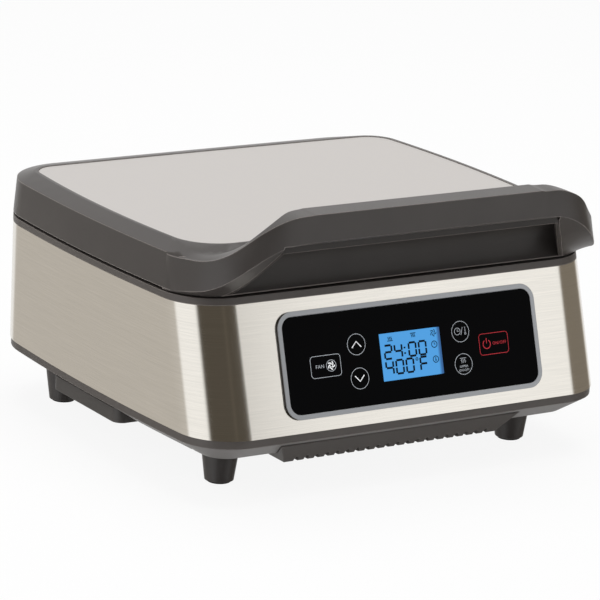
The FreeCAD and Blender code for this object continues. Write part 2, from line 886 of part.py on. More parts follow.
def lid_frame():
    left, middle, right = handle_body()
    frame = lid_ring().fuse([left, middle, right])
    below = box(-half_width - 5, half_width + 5, handle_front - 5, base_rear + 5,
                lid_bottom - 10, lid_bottom)
    frame = frame.cut(below)
    pocket = slab(outline(steel_plan(), lid_top - plate_recess - plate_thickness), 30.0)
    frame = frame.cut(pocket)
    cavity = lid_cavity()
    frame = frame.cut(cavity)
    frame = frame.cut(handle_cavity())
    frame = frame.cut(recess_cut(recess_gap))
    for x in handle_screw_xs():
        post = rod(4.0, 30.0, x, handle_screw_y(), strip_low() + recess_liner + recess_gap)
        frame = frame.fuse(post.common(handle_cavity()))
    for x, y in pillar_spots():
        boss = rod(pillar_radius + 0.5, 30.0, x, y, liner_top() + 0.2)
        frame = frame.fuse(boss.common(lid_ring()))
    for x in handle_screw_xs():
        frame = frame.cut(rod(screw_radius + screw_gap, 16.0, x, handle_screw_y(), strip_low()))
    for x, y in pillar_spots():
        frame = frame.cut(rod(screw_radius + screw_gap, 12.0, x, y, lid_bottom))
    for side in (-1, 1):
        frame = frame.cut(hinge_notch(side))
    return frame.removeSplitter()


def lid_top_plate():
    wire = outline(steel_plan(-plate_clearance), lid_top - plate_recess - plate_thickness)
    plate = slab(wire, plate_thickness)
    return plate


def handle_liner():
    """Moulding that forms the finger space: strip, cove and lower lip."""
    w = recess_reach
    thick = recess_liner
    low = lid_bottom - 1.0
    top = handle_low + 10.0
    outer = recess_profile(recess_radius + thick, strip_low() + thick, handle_front + strip_setback,
                           -w, w, lid_bottom)
    inner = recess_profile(recess_radius, strip_low(), handle_front - 10.0, -w, w, low)
    liner = outer.cut(inner)
    strip = box(-w, w, handle_front + strip_setback, handle_front + strip_setback + thick,
                strip_low(), handle_low + strip_tongue)
    liner = fuse(liner, strip).common(between_ends(0.0, low, top))
    left, middle, right = handle_body()
    ends = outer.common(between_ends(0.0, low, top)).cut(between_ends(thick, low - 1.0, top + 1.0))
    ends = ends.common(lid_ring().fuse([left, middle, right]))
    liner = fuse(liner, ends).common(behind_face(strip_setback, low, top))
    for x in handle_screw_xs():
        liner = liner.fuse(rod(screw_head_radius + 1.8, recess_liner + recess_gap - 0.1, x,
                           handle_screw_y(), strip_low()))
    for x in handle_screw_xs():
        liner = liner.cut(rod(screw_radius + screw_gap, 20.0, x, handle_screw_y(), strip_low() - 5))
        liner = liner.cut(rod(screw_head_radius + screw_gap, 1.6, x, handle_screw_y(), strip_low() - 0.1))
    return liner.removeSplitter()


def screw(x, y, z, length, up=True):
    """Pan head screw whose head seats at z."""
    d = V(0, 0, 1 if up else -1)
    head = rod(screw_head_radius, screw_head_height, x, y, z, d * -1.0)
    shank = rod(screw_radius, length, x, y, z, d)
    slot = box(x - 2.2, x + 2.2, y - 0.4, y + 0.4, z - screw_head_height - 0.1, z - screw_head_height + 0.9)
    return fuse(head, shank).cut(slot)


def handle_screws():
    solids = []
    for x in handle_screw_xs():
        solids.append(screw(x, handle_screw_y(), strip_low() + 1.5, 12.0))
    return Part.makeCompound(solids)


def liner_top():
    return lid_bottom + liner_lift + liner_sheet


def lid_liner():
    """Inner tray of the lid with the ledge that carries the upper plate."""
    low = lid_bottom + liner_lift
    lean = lid_lean * (liner_top() - lid_bottom + 1.0) / lid_wall_height
    ring = slab(lid_outline(low, lid_wall + lean + plate_clearance), liner_top() - low)
    ledge_low = upper_back()
    skirt = slab(lid_outline(low, rim_flange_width + liner_skirt), ledge_low + liner_sheet - low)
    ring = fuse(ring, skirt)
    ring = ring.cut(slab(lid_outline(low - 1, rim_flange_width + liner_step), ledge_low - low + 1))
    ring = ring.cut(slab(lid_outline(low - 1, rim_flange_width + liner_ledge_end), 40.0))
    ring = ring.cut(recess_cut(recess_gap + 0.3))
    for x, y in pillar_spots():
        ring = ring.cut(rod(screw_radius + screw_gap, 10.0, x, y, low - 1))
        ring = ring.cut(rod(screw_head_radius + screw_gap, 1.6, x, y, low - 0.1))
    for side in (-1, 1):
        ring = ring.cut(hinge_notch(side))
    ring = ring.cut(upper_catch_pocket())
    return ring.removeSplitter()


def liner_screws():
    solids = []
    for x, y in pillar_spots():
        solids.append(screw(x, y, lid_bottom + liner_lift + 1.5, 10.0))
    return Part.makeCompound([s.cut(box(-400, 400, -400, 400, 0, lid_bottom + 0.3)) for s in solids])


# Cooking plates and heaters

def ridge_xs():
    reach = half_width - rim_flange_width - rim_skirt - plate_seat_gap - ridge_margin - side_bow
    count = int(reach / ridge_pitch)
    return [i * ridge_pitch for i in range(-count, count + 1)]


def ridges(z, height, up):
    y0 = front_at(lid_bottom) + rim_flange_width + rim_skirt + ridge_margin
    y1 = base_rear - rim_flange_width - rim_skirt - ridge_margin - 6.0
    solids = []
    for x in ridge_xs():
        w = ridge_width / 2
        top = w * 0.6
        z1 = z + height if up else z - height
        points = [V(x - w, y0, z), V(x + w, y0, z), V(x + top, y0, z1), V(x - top, y0, z1)]
        face = Part.Face(Part.makePolygon(points + [points[0]]))
        solids.append(face.extrude(V(0, y1 - y0, 0)))
    return solids


def lower_grill_plate():
    inset = rim_flange_width + rim_skirt + plate_seat_gap
    z = rim_ledge_top
    plate = slab(lid_outline(z, inset), plate_floor + plate_rim_height)
    plate = plate.cut(slab(lid_outline(z + plate_floor, inset + plate_rim), 20.0))
    plate = plate.fuse(ridges(z + plate_floor - 0.2, ridge_height + 0.2, True))
    plate = plate.cut(rod(drain_radius, 20.0, drain_x, drain_y, z - 1))
    return plate.removeSplitter()


def upper_back():
    return lid_bottom + liner_lift + upper_back_rise


def upper_grill_plate():
    inset = rim_flange_width + liner_step + plate_seat_gap
    z = upper_back()
    plate = slab(lid_outline(z - plate_floor - upper_rim_height, inset), plate_floor + upper_rim_height)
    plate = plate.cut(slab(lid_outline(z - plate_floor - 20.0, inset + plate_rim), 20.0))
    plate = plate.fuse(ridges(z - plate_floor + 0.2, ridge_height + 0.2, False))
    return plate.removeSplitter()


def heater_points():
    x = half_width - heater_margin
    y0 = front_at(lid_bottom) + heater_margin
    y1 = base_rear - heater_margin
    return x, y0, y1


def heater_tube(z, tail):
    """Tubular heater: a rounded loop whose two tails turn out of the plane."""
    x, y0, y1 = heater_points()
    r = heater_bend
    k = r * (1.0 - math.sqrt(0.5))
    t = 8.0
    m = t * (1.0 - math.sqrt(0.5))
    h = heater_tail_half
    s = 1.0 if tail > 0 else -1.0

    def half_loop(side):
        p = []
        p.append(Part.LineSegment(V(side * h, y1, z + tail), V(side * h, y1, z + s * t)))
        p.append(Part.Arc(V(side * h, y1, z + s * t), V(side * (h + m), y1, z + s * m),
                          V(side * (h + t), y1, z)))
        p.append(Part.LineSegment(V(side * (h + t), y1, z), V(side * (x - r), y1, z)))
        p.append(Part.Arc(V(side * (x - r), y1, z), V(side * (x - k), y1 - k, z), V(side * x, y1 - r, z)))
        p.append(Part.LineSegment(V(side * x, y1 - r, z), V(side * x, y0 + r, z)))
        p.append(Part.Arc(V(side * x, y0 + r, z), V(side * (x - k), y0 + k, z), V(side * (x - r), y0, z)))
        return [c.toShape() for c in p]

    left = half_loop(-1)
    right = half_loop(1)
    front = Part.LineSegment(V(-(x - r), y0, z), V(x - r, y0, z)).toShape()
    wire = Part.Wire(Part.__sortEdges__(left + [front] + right))
    circle = Part.Wire([Part.Circle(V(-h, y1, z + tail), V(0, 0, 1), heater_radius).toShape()])
    return wire.makePipeShell([circle], True, True)


def heater_tail_holes(shape):
    x, y0, y1 = heater_points()
    for side in (-1, 1):
        shape = shape.cut(rod(heater_radius + 0.8, 100.0, side * heater_tail_half, y1, lid_bottom - 60.0))
    return shape


def lower_heater_z():
    return rim_ledge_top - heater_gap - heater_radius


def upper_heater_z():
    return upper_back() + heater_gap + heater_radius


def lower_heater():
    return heater_tube(lower_heater_z(), -heater_tail)


def upper_heater():
    return heater_tube(upper_heater_z(), upper_tail())


def upper_tail():
    return roof_under() - 1.0 - upper_heater_z()


def dish(z_flange, depth, inset):
    """Thin sheet dish with an outward flange; depth is negative when it hangs down."""
    flange_z = z_flange - reflector_sheet if depth < 0 else z_flange
    wall = slab(lid_outline(min(z_flange, z_flange + depth), inset), abs(depth))
    if depth < 0:
        hollow = slab(lid_outline(z_flange + depth + reflector_sheet, inset + reflector_sheet), abs(depth))
    else:
        hollow = slab(lid_outline(z_flange - 1, inset + reflector_sheet), abs(depth) + 1 - reflector_sheet)
    flange = slab(lid_outline(flange_z, inset - 5.0), reflector_sheet)
    opening = slab(lid_outline(flange_z - 1, inset + reflector_sheet), reflector_sheet + 2)
    return fuse(wall.cut(hollow), flange.cut(opening))


def lower_reflector():
    inset = rim_flange_width + rim_skirt + rim_ledge_width + 2.0
    shape = dish(rim_ledge_top - rim_ledge_height, -reflector_depth, inset)
    shape = shape.cut(rod(chute_radius, 20.0, drain_x, drain_y, lower_dish_floor() - 3))
    return heater_tail_holes(shape)


def lower_dish_floor():
    return rim_ledge_top - rim_ledge_height - reflector_depth


def grease_chute():
    """Funnel that leads fat from the plate down to the drip tray."""
    top = lower_dish_floor() + reflector_sheet
    flange = rod(chute_radius + 5.0, chute_wall, drain_x, drain_y, top)
    low = tray_top + 5.0
    tube = Part.makeCone(chute_radius - 4.0, chute_radius - 0.5, top - low, V(drain_x, drain_y, low))
    bore = Part.makeCone(chute_radius - 4.0 - chute_wall, chute_radius - 0.5 - chute_wall,
                         top - low, V(drain_x, drain_y, low))
    chute = fuse(tube, flange).cut(bore)
    return chute.cut(rod(chute_radius - 0.5 - chute_wall, 5.0, drain_x, drain_y, top))


def upper_reflector():
    inset = rim_flange_width + liner_ledge_end + 2.0
    depth = roof_under() - reflector_clearance - (upper_back() + liner_sheet)
    return heater_tail_holes(dish(upper_back() + liner_sheet, depth, inset))


def lower_probe():
    floor = lower_dish_floor() + reflector_sheet
    flange = rod(probe_radius + 5.0, 1.5, 0, 0, floor)
    stem = rod(probe_radius, rim_ledge_top - heater_gap - floor, 0, 0, floor)
    return fuse(flange, stem)


def upper_probe():
    roof = roof_under() - reflector_clearance - reflector_sheet
    flange = rod(probe_radius + 5.0, 1.5, 0, 0, roof - 1.5)
    stem = rod(probe_radius, roof - (upper_back() + heater_gap), 0, 0, upper_back() + heater_gap)
    return fuse(flange, stem)


# Plate catches

def catch_front():
    return front_at(lid_bottom) + rim_flange_width + rim_skirt + plate_seat_gap + catch_lap - catch_length


def lower_catch_level():
    return rim_ledge_top + plate_floor + plate_rim_height + catch_gap * 2


def lower_catch_pocket():
    y0 = catch_front() - catch_travel - 0.3
    half = catch_width / 2 + 0.3
    level = lower_catch_level() - catch_gap
    return box(-half, half, y0, catch_front() + catch_length + 6.0, level, rim_top + 5.0)


def lower_catch():
    level = lower_catch_level()
    y0 = catch_front()
    body = box(-catch_width / 2, catch_width / 2, y0, y0 + catch_length, level, level + catch_thickness)
    rib = box(-8, 8, y0 + 2.0, y0 + 4.0, level, rim_top + catch_rib)
    return fuse(body, rib)


def upper_catch_front():
    plate_edge = front_at(lid_bottom) + rim_flange_width + liner_step + plate_seat_gap
    return plate_edge + catch_lap - catch_length + 2.0


def upper_catch_pocket():
    half = catch_width / 2 + 0.3
    y0 = upper_catch_front() - catch_travel - 0.3
    low = lid_bottom + liner_lift
    return box(-half, half, y0, upper_catch_front() + catch_length + 6.0, low - 1,
               low + upper_catch_thickness + 2 * catch_gap)


def upper_catch():
    low = lid_bottom + liner_lift + catch_gap
    y0 = upper_catch_front()
    body = box(-catch_width / 2, catch_width / 2, y0, y0 + catch_length, low, low + upper_catch_thickness)
    rib = box(-8, 8, y0 + 1.5, y0 + 3.0, lid_bottom + 0.1, low + 0.2)
    return fuse(body, rib)


# Hinge

def hinge_y():
    return base_rear - hinge_inset


def hinge_z():
    return lid_bottom + hinge_rise


def hinge_notch(side):
    reach = ear_width / 2 + leaf_gap + leaf_width + 1.5
    x = side * hinge_x
    return box(x - reach, x + reach, hinge_y() - leaf_radius - 1.5, base_rear + 5,
               lid_bottom - 2, hinge_z() + ear_radius + 1.5)


def hinge_ear(side):
    """Bracket on the base that holds the pin."""
    x = side * hinge_x - ear_width / 2
    disc = rod(ear_radius, ear_width, x, hinge_y(), hinge_z(), V(1, 0, 0))
    post = box(x, x + ear_width, hinge_y() - ear_radius, hinge_y() + hinge_inset - 0.6, rim_top, hinge_z())
    ear = fuse(disc, post)
    ear = ear.cut(box(x - 1, x + ear_width + 1, base_rear - 20, base_rear + 20, 100.0, rim_top))
    return ear.cut(rod(pin_radius + pin_gap, ear_width + 2, x - 1, hinge_y(), hinge_z(), V(1, 0, 0)))


def hinge_pin(side):
    length = ear_width + 2 * (leaf_gap + leaf_width)
    x = side * hinge_x - length / 2
    return rod(pin_radius, length, x, hinge_y(), hinge_z(), V(1, 0, 0))


def hinge_leaf(side):
    """Lid half of the hinge: two knuckles either side of the ear on one plate."""
    leaf = None
    for k in (-1, 1):
        x = side * hinge_x + k * (ear_width / 2 + leaf_gap + leaf_width / 2) - leaf_width / 2
        knuckle = rod(leaf_radius, leaf_width, x, hinge_y(), hinge_z(), V(1, 0, 0))
        arm = box(x, x + leaf_width, hinge_y() - leaf_reach, hinge_y(),
                  liner_top(), liner_top() + leaf_plate)
        part = fuse(knuckle, arm)
        leaf = part if leaf is None else leaf.fuse(part)
    reach = ear_width / 2 + leaf_gap + leaf_width
    plate = box(side * hinge_x - reach, side * hinge_x + reach, hinge_y() - leaf_reach,
                hinge_y() - ear_radius - 1.2, liner_top(), liner_top() + leaf_plate)
    leaf = leaf.fuse(plate)
    bore = rod(pin_radius + pin_gap, 40.0, side * hinge_x - 20.0, hinge_y(), hinge_z(), V(1, 0, 0))
    return leaf.cut(bore).removeSplitter()


# Tray, runners, fan and other inner parts

def tray_x0():
    return -half_width + tray_face


def drip_tray():
    x0 = tray_x0()
    x1 = x0 + tray_length
    shell = box(x0, x1, tray_front, tray_rear, tray_bottom, tray_top)
    upright = [e for e in shell.Edges if abs(e.tangentAt(e.FirstParameter).z) > 0.9]
    outer_pair = [e for e in upright if abs(e.CenterOfMass.x - x0) < 0.01]
    shell = shell.makeFillet(tray_corner, outer_pair)
    hollow = box(x0 + tray_wall + 6, x1 - tray_wall, tray_front + tray_wall, tray_rear - tray_wall,
                 tray_bottom + tray_wall, tray_top + 5)
    shell = shell.cut(hollow)
    low = tray_top - tray_flange_thickness
    fx0 = x0 + tray_flange_start
    front = box(fx0, x1, tray_front - tray_flange, tray_front + 0.5, low, tray_top)
    rear = box(fx0, x1, tray_rear - 0.5, tray_rear + tray_flange, low, tray_top)
    return fuse(shell, front, rear)


def tray_runners():
    low = pan_top
    high = tray_top - tray_flange_thickness - runner_gap
    x0 = -half_width + pan_chamfer_inset + pan_wall + 1.0
    x1 = tray_x0() + tray_length
    y0 = tray_front - tray_gap - runner_width
    y1 = tray_rear + tray_gap
    return Part.makeCompound([box(x0, x1, y0, y0 + runner_width, low, high),
                              box(x0, x1, y1, y1 + runner_width, low, high)])


def fan_housing():
    half = fan_size / 2
    z0 = pan_top
    frame = box(fan_x - half, fan_x + half, fan_y - half, fan_y + half, z0, z0 + fan_depth)
    frame = frame.cut(rod(fan_bore, fan_depth + 2, fan_x, fan_y, z0 - 1))
    spider = rod(fan_motor_radius + 2, 2.5, fan_x, fan_y, z0)
    for i in range(3):
        arm = box(0, fan_bore + 1, -2.5, 2.5, z0, z0 + 2.5)
        arm.rotate(V(0, 0, 0), V(0, 0, 1), 90.0 + i * 120.0)
        arm.translate(V(fan_x, fan_y, 0))
        spider = spider.fuse(arm)
    return frame.fuse(spider).removeSplitter()


def fan_motor():
    z0 = pan_top + 2.5
    can = rod(fan_motor_radius, 10.0, fan_x, fan_y, z0)
    shaft = rod(fan_shaft_radius, 18.0, fan_x, fan_y, z0)
    return fuse(can, shaft)


def fan_rotor():
    z0 = pan_top + 4.5
    z1 = pan_top + fan_depth - 2.0
    hub = rod(fan_hub, z1 - z0, fan_x, fan_y, z0)
    hub = hub.cut(rod(fan_motor_radius + 1.0, 9.3, fan_x, fan_y, z0 - 0.3))
    tip = fan_bore - fan_tip_gap
    inner = fan_hub - 1.0
    blades = []
    for i in range(fan_blades):
        width = 20.0
        blade = box(inner, tip + 2, -width / 2, width / 2, -fan_blade_thickness / 2, fan_blade_thickness / 2)
        blade.rotate(V(0, 0, 0), V(1, 0, 0), fan_blade_pitch)
        blade.rotate(V(0, 0, 0), V(0, 0, 1), i * 360.0 / fan_blades)
        blade.translate(V(fan_x, fan_y, (z0 + z1) / 2))
        blades.append(blade.common(rod(tip, z1 - z0, fan_x, fan_y, z0)))
    rotor = hub.fuse(blades)
    return rotor.cut(rod(fan_shaft_radius + pin_gap, 40.0, fan_x, fan_y, z0 - 5)).removeSplitter()


def smoke_filter():
    half = fan_size / 2
    z0 = pan_top + fan_depth
    outer = box(fan_x - half, fan_x + half, fan_y - half, fan_y + half, z0, z0 + filter_thickness)
    cells = None
    for i in range(-3, 4):
        x = fan_x + i * 11.5
        cell = box(x - 4.2, x + 4.2, fan_y - half + 5, fan_y + half - 5, z0 + 1.0, z0 + filter_thickness + 1)
        cells = cell if cells is None else cells.fuse(cell)
    return outer.cut(cells)


def power_board():
    x0 = board_left
    y0 = base_front + board_front_inset
    z0 = pan_top + board_standoff
    board = box(x0, x0 + board_width, y0, y0 + board_depth, z0, z0 + board_thickness)
    relay = box(x0 + 10, x0 + 29, y0 + 8, y0 + 24, z0 + 1, z0 + 17)
    second = box(x0 + 34, x0 + 53, y0 + 8, y0 + 24, z0 + 1, z0 + 17)
    choke = rod(9.0, 20.0, x0 + 72, y0 + 18, z0 + 1)
    supply = box(x0 + 60, x0 + 92, y0 + 34, y0 + 54, z0 + 1, z0 + 20)
    board = board.fuse([relay, second, choke, supply])
    for dx in (6, board_width - 6):
        for dy in (6, board_depth - 6):
            board = board.fuse(rod(3.0, board_standoff + 0.5, x0 + dx, y0 + dy, pan_top))
    return board.removeSplitter()


def foot_spots():
    spots = []
    for side in (-1, 1):
        spots.append((side * (half_width - foot_front_side), base_front + foot_front_inset))
        spots.append((side * (half_width - foot_rear_side), base_rear - foot_rear_inset))
    return spots


def foot(x, y):
    cone = Part.makeCone(foot_bottom_radius, foot_top_radius, foot_height - foot_pad_drop,
                         V(x, y, foot_pad_drop))
    pocket = rod(foot_pad_radius + 0.2, foot_pad_height, x, y, 0)
    stud = rod(screw_radius, pan_floor + 1.5, x, y, foot_height - 0.5)
    return fuse(cone.cut(pocket), stud)


def foot_pads():
    return Part.makeCompound([rod(foot_pad_radius, foot_pad_height, x, y, 0) for x, y in foot_spots()])


def pan_screws():
    solids = []
    for x, y in pillar_spots():
        solids.append(screw(x, y, pan_screw_seat, 18.0))
    return Part.makeCompound(solids)


def lid_bumpers():
    solids = []
    for side in (-1, 1):
        x, y = corner_spot(lid_bottom, side, False, pillar_inset)
        solids.append(rod(bumper_radius, lid_gap + 0.1, x - side * 14.0, y - 6.0, rim_top))
    return Part.makeCompound(solids)


def power_inlet():
    x0 = inlet_x - inlet_width / 2
    z0 = inlet_z - inlet_height / 2
    flange = box(x0, x0 + inlet_width, base_rear + 0.1, base_rear + 2.1, z0, z0 + inlet_height)
    body = box(x0 + 4.4, x0 + inlet_width - 4.4, base_rear - 22, base_rear + 1, z0 + 3.4,
               z0 + inlet_height - 3.4)
    shape = fuse(flange, body)
    well = box(x0 + 12, x0 + inlet_width - 12, base_rear - 17, base_rear + 5, z0 + 6, z0 + inlet_height - 6)
    return shape.cut(well)


def inlet_pins():
    solids = []
    for dx, dz in ((-6.0, -2.0), (0.0, 3.0), (6.0, -2.0)):
        x = inlet_x + dx
        z = inlet_z + dz
        solids.append(box(x - 1.0, x + 1.0, base_rear - 17, base_rear - 4, z - 1.8, z + 1.8))
    return Part.makeCompound(solids)


def build():
    save("base_pan", base_pan())
    save("front_vent", front_vent())
    save("steel_wrap", steel_wrap())
    save("base_rim", base_rim())
    save("control_bezel", control_bezel())
    save("control_glass", control_glass())
    save("lcd_module", lcd_module())
    save("touch_board", touch_board())
    save("lid_frame", lid_frame())
    save("lid_top_plate", lid_top_plate())
    save("handle_liner", handle_liner())
    save("handle_screws", handle_screws())
    save("lid_liner", lid_liner())
    save("liner_screws", liner_screws())
    save("lower_grill_plate", lower_grill_plate())
    save("upper_grill_plate", upper_grill_plate())
    save("lower_heater", lower_heater())
    save("upper_heater", upper_heater())
    save("lower_reflector", lower_reflector())
    save("upper_reflector", upper_reflector())
    save("grease_chute", grease_chute())
    save("lower_probe", lower_probe())
    save("upper_probe", upper_probe())
    save("lower_catch", lower_catch())
    save("upper_catch", upper_catch())
    for name, side in (("left", -1), ("right", 1)):
        save("hinge_ear_" + name, hinge_ear(side))
        save("hinge_pin_" + name, hinge_pin(side))
        save("hinge_leaf_" + name, hinge_leaf(side))
    save("drip_tray", drip_tray())
    save("tray_runners", tray_runners())
    save("fan_housing", fan_housing())
    save("fan_motor", fan_motor())
    save("fan_rotor", fan_rotor())
    save("smoke_filter", smoke_filter())
    save("power_board", power_board())
    names = ["foot_front_left", "foot_rear_left", "foot_front_right", "foot_rear_right"]
    for name, (x, y) in zip(names, foot_spots()):
        save(name, foot(x, y))
    save("foot_pads", foot_pads())
    save("pan_screws", pan_screws())
    save("lid_bumpers", lid_bumpers())
    save("power_inlet", power_inlet())
    save("inlet_pins", inlet_pins())


build()
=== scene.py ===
# %% [markdown]
# A smokeless electric grill: a steel sided base with a touch panel, and a hinged lid with a
# swept handle. The solids of every piece come from the frame, at their real size. This lesson
# dresses them: it softens edges, prints the panel, and gives each piece the finish of its real
# material. Everything is in metres, with the feet on z = 0 and the panel facing minus Y.

# %% Load the frame
import json
import math

import bmesh
import bpy
from mathutils import Matrix, Vector

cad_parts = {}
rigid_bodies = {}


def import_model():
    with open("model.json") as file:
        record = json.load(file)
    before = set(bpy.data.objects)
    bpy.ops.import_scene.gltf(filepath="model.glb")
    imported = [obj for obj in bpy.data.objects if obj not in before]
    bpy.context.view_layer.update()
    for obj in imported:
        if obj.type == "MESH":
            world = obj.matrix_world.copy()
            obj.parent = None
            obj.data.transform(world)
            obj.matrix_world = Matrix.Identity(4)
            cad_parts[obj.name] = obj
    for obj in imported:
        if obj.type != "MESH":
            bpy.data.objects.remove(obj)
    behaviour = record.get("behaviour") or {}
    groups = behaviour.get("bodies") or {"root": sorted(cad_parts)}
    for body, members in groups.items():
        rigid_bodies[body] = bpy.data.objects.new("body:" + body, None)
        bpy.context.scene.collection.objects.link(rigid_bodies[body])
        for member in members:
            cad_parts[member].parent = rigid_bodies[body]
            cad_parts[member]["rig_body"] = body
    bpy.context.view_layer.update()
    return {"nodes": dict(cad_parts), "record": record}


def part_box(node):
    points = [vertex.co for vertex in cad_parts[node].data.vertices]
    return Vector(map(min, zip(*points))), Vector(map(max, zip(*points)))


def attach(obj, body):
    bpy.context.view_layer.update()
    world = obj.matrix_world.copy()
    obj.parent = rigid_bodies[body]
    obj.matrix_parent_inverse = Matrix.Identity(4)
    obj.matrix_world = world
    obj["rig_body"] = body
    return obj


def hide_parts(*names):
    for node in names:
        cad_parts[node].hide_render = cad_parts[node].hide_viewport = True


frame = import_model()
MM = 0.001
slots = {row["node"]: row["material_slot"] for row in frame["record"]["subparts"]}

# %% [markdown]
# The camera comes first. A long lens far away gives the flat perspective of a product picture.
# Its direction is written as an azimuth and an elevation, and it leans over by a small roll.

# %% Camera
CAMERA_AZIMUTH = math.radians(-32.97)
CAMERA_ELEVATION = math.radians(15.53)
CAMERA_ROLL = math.radians(2.92)
CAMERA_DISTANCE = 2.72996
CAMERA_TARGET = Vector((8.46, 7.0, 89.57)) * MM
SENSOR_MM = 36.0
FOCAL_PIXELS = 3625.03
FRAME_PIXELS = 600.0
SEES_UP_TO = 20.0


def aim_camera():
    """Place the camera on a sphere round its target, with its roll."""
    flat = math.cos(CAMERA_ELEVATION)
    back = Vector((math.sin(CAMERA_AZIMUTH) * flat, -math.cos(CAMERA_AZIMUTH) * flat,
                   math.sin(CAMERA_ELEVATION)))
    right = (-back).cross(Vector((0, 0, 1))).normalized()
    up = back.cross(right)
    rolled_right = right * math.cos(CAMERA_ROLL) + up * math.sin(CAMERA_ROLL)
    rolled_up = up * math.cos(CAMERA_ROLL) - right * math.sin(CAMERA_ROLL)
    camera = bpy.data.objects.new("camera", bpy.data.cameras.new("camera"))
    camera.data.sensor_width = SENSOR_MM
    camera.data.lens = SENSOR_MM * FOCAL_PIXELS / FRAME_PIXELS
    camera.data.clip_end = SEES_UP_TO
    turn = Matrix((rolled_right, rolled_up, back)).transposed().to_4x4()
    camera.matrix_world = Matrix.Translation(CAMERA_TARGET + back * CAMERA_DISTANCE) @ turn
    bpy.context.scene.collection.objects.link(camera)
    bpy.context.scene.camera = camera
    return camera


print("lens", round(aim_camera().data.lens, 1), "mm")

# %% [markdown]
# Colours are written as the hex values that a picture editor shows. The renderer counts light,
# so one function turns them to linear values. A second small function adds any shader node, with
# its settings, and feeds its inputs with values or with other nodes' outputs. A node that mixes
# colours has several sockets of one name, so those are picked by their number.

# %% Colour and node helpers
FIRST_COLOUR = 6
SECOND_COLOUR = 7
MIXED_COLOUR = 2


def linear(hex_colour):
    """Linear colour of an sRGB hex value."""
    channels = [int(hex_colour[i:i + 2], 16) / 255.0 for i in (1, 3, 5)]
    values = [c / 12.92 if c <= 0.04045 else ((c + 0.055) / 1.055) ** 2.4 for c in channels]
    return (*values, 1.0)


def add(tree, kind, inputs=None, stops=None, **settings):
    """One shader node; stops are the (place, colour) pairs of a colour ramp."""
    node = tree.nodes.new(kind)
    for key, value in settings.items():
        setattr(node, key, value)
    if stops:
        elements = node.color_ramp.elements
        while len(elements) < len(stops):
            elements.new(1.0)
        for element, (place, colour) in zip(elements, stops):
            element.position = place
            element.color = colour
    for name, value in (inputs or {}).items():
        if isinstance(value, bpy.types.NodeSocket):
            tree.links.new(value, node.inputs[name])
        else:
            node.inputs[name].default_value = value
    return node


def new_material(name):
    """An empty material with its output node."""
    material = bpy.data.materials.new(name)
    material.use_nodes = True
    material.node_tree.nodes.clear()
    output = add(material.node_tree, "ShaderNodeOutputMaterial")
    return material, material.node_tree, output


def shade(hex_colour, factor):
    """The linear colour made lighter or darker by a factor."""
    r, g, b, a = linear(hex_colour)
    return (r * factor, g * factor, b * factor, a)


print("middle grey counts as", round(linear("#808080")[0], 3), "of white light")

# %% [markdown]
# Moulded plastic. The shells are heat resistant plastic from a spark eroded mould, which leaves
# an even, fine grit. The eye sees a soft sheen with no mirror image, a faint mottle and a trace
# of grain. The real grit is about 0.1 mm; it is drawn near 0.5 mm, so that it shows at all. The
# edges of a moulding are rounded: a rounding of the shading gives that without more mesh. Where
# the rounded normal turns away from the face's own, the colour goes paler, a painted highlight
# that draws thin pale lines along the edges, strongest on the lid and the handle liner.

# %% Moulded plastics
EDGE_ROUND_MM = 1.1
EDGE_SAMPLES = 6
EDGE_FROM = 0.97
EDGE_FULL = 0.86
# painted edge highlights: how many times paler the edges of the lid and handle liner, and of the rim,
# are drawn
PAINTED_EDGE_HIGHLIGHT = 7.0
RIM_PAINTED_EDGE_HIGHLIGHT = 3.5
CLOUD_MM = 38.0
MOTTLE = 0.07
SMOOTHER = 0.05
ROUGHER = 0.07
GRIT_DEEP_MM = 0.12
PLASTIC_IOR = 1.5


def moulded_plastic(name, hex_colour, roughness=0.5, grit_mm=0.55, relief=0.16, painted_edge_highlight=1.5):
    """Plastic with the grit of its mould, and a painted highlight that makes its edges paler by a
    factor.
    """
    material, tree, output = new_material(name)
    place = add(tree, "ShaderNodeTexCoord").outputs["Object"]
    rounded = add(tree, "ShaderNodeBevel", {"Radius": EDGE_ROUND_MM * MM}, samples=EDGE_SAMPLES)
    surface = add(tree, "ShaderNodeNewGeometry")
    # where the rounded normal leaves the face's own: the mask of the painted edge highlight
    match = add(tree, "ShaderNodeVectorMath", {0: rounded.outputs["Normal"],
                                               1: surface.outputs["Normal"]}, operation="DOT_PRODUCT")
    edge = add(tree, "ShaderNodeMapRange", {"Value": match.outputs["Value"], "From Min": EDGE_FROM,
                                            "From Max": EDGE_FULL})
    grit = add(tree, "ShaderNodeTexNoise", {"Vector": place, "Scale": 1.0 / (grit_mm * MM),
                                            "Detail": 2.0})
    cloud = add(tree, "ShaderNodeTexNoise", {"Vector": place, "Scale": 1.0 / (CLOUD_MM * MM),
                                             "Detail": 3.0})
    colour = add(tree, "ShaderNodeValToRGB", {"Fac": cloud.outputs["Fac"]},
                 [(0.3, shade(hex_colour, 1.0 - MOTTLE)), (0.7, shade(hex_colour, 1.0 + MOTTLE))])
    # painted highlight: the colour goes paler along the edges by that mask
    tone = add(tree, "ShaderNodeMix", {
        0: edge.outputs["Result"], FIRST_COLOUR: colour.outputs["Color"],
        SECOND_COLOUR: shade(hex_colour, painted_edge_highlight)}, data_type="RGBA")
    rough = add(tree, "ShaderNodeMapRange", {"Value": grit.outputs["Fac"],
                                             "To Min": roughness - SMOOTHER,
                                             "To Max": roughness + ROUGHER})
    bump = add(tree, "ShaderNodeBump", {"Height": grit.outputs["Fac"], "Strength": relief,
                                        "Distance": GRIT_DEEP_MM * MM,
                                        "Normal": rounded.outputs["Normal"]})
    shader = add(tree, "ShaderNodeBsdfPrincipled", {
        "Base Color": tone.outputs[MIXED_COLOUR], "Roughness": rough.outputs["Result"],
        "Normal": bump.outputs["Normal"], "IOR": PLASTIC_IOR})
    tree.links.new(shader.outputs["BSDF"], output.inputs["Surface"])
    return material


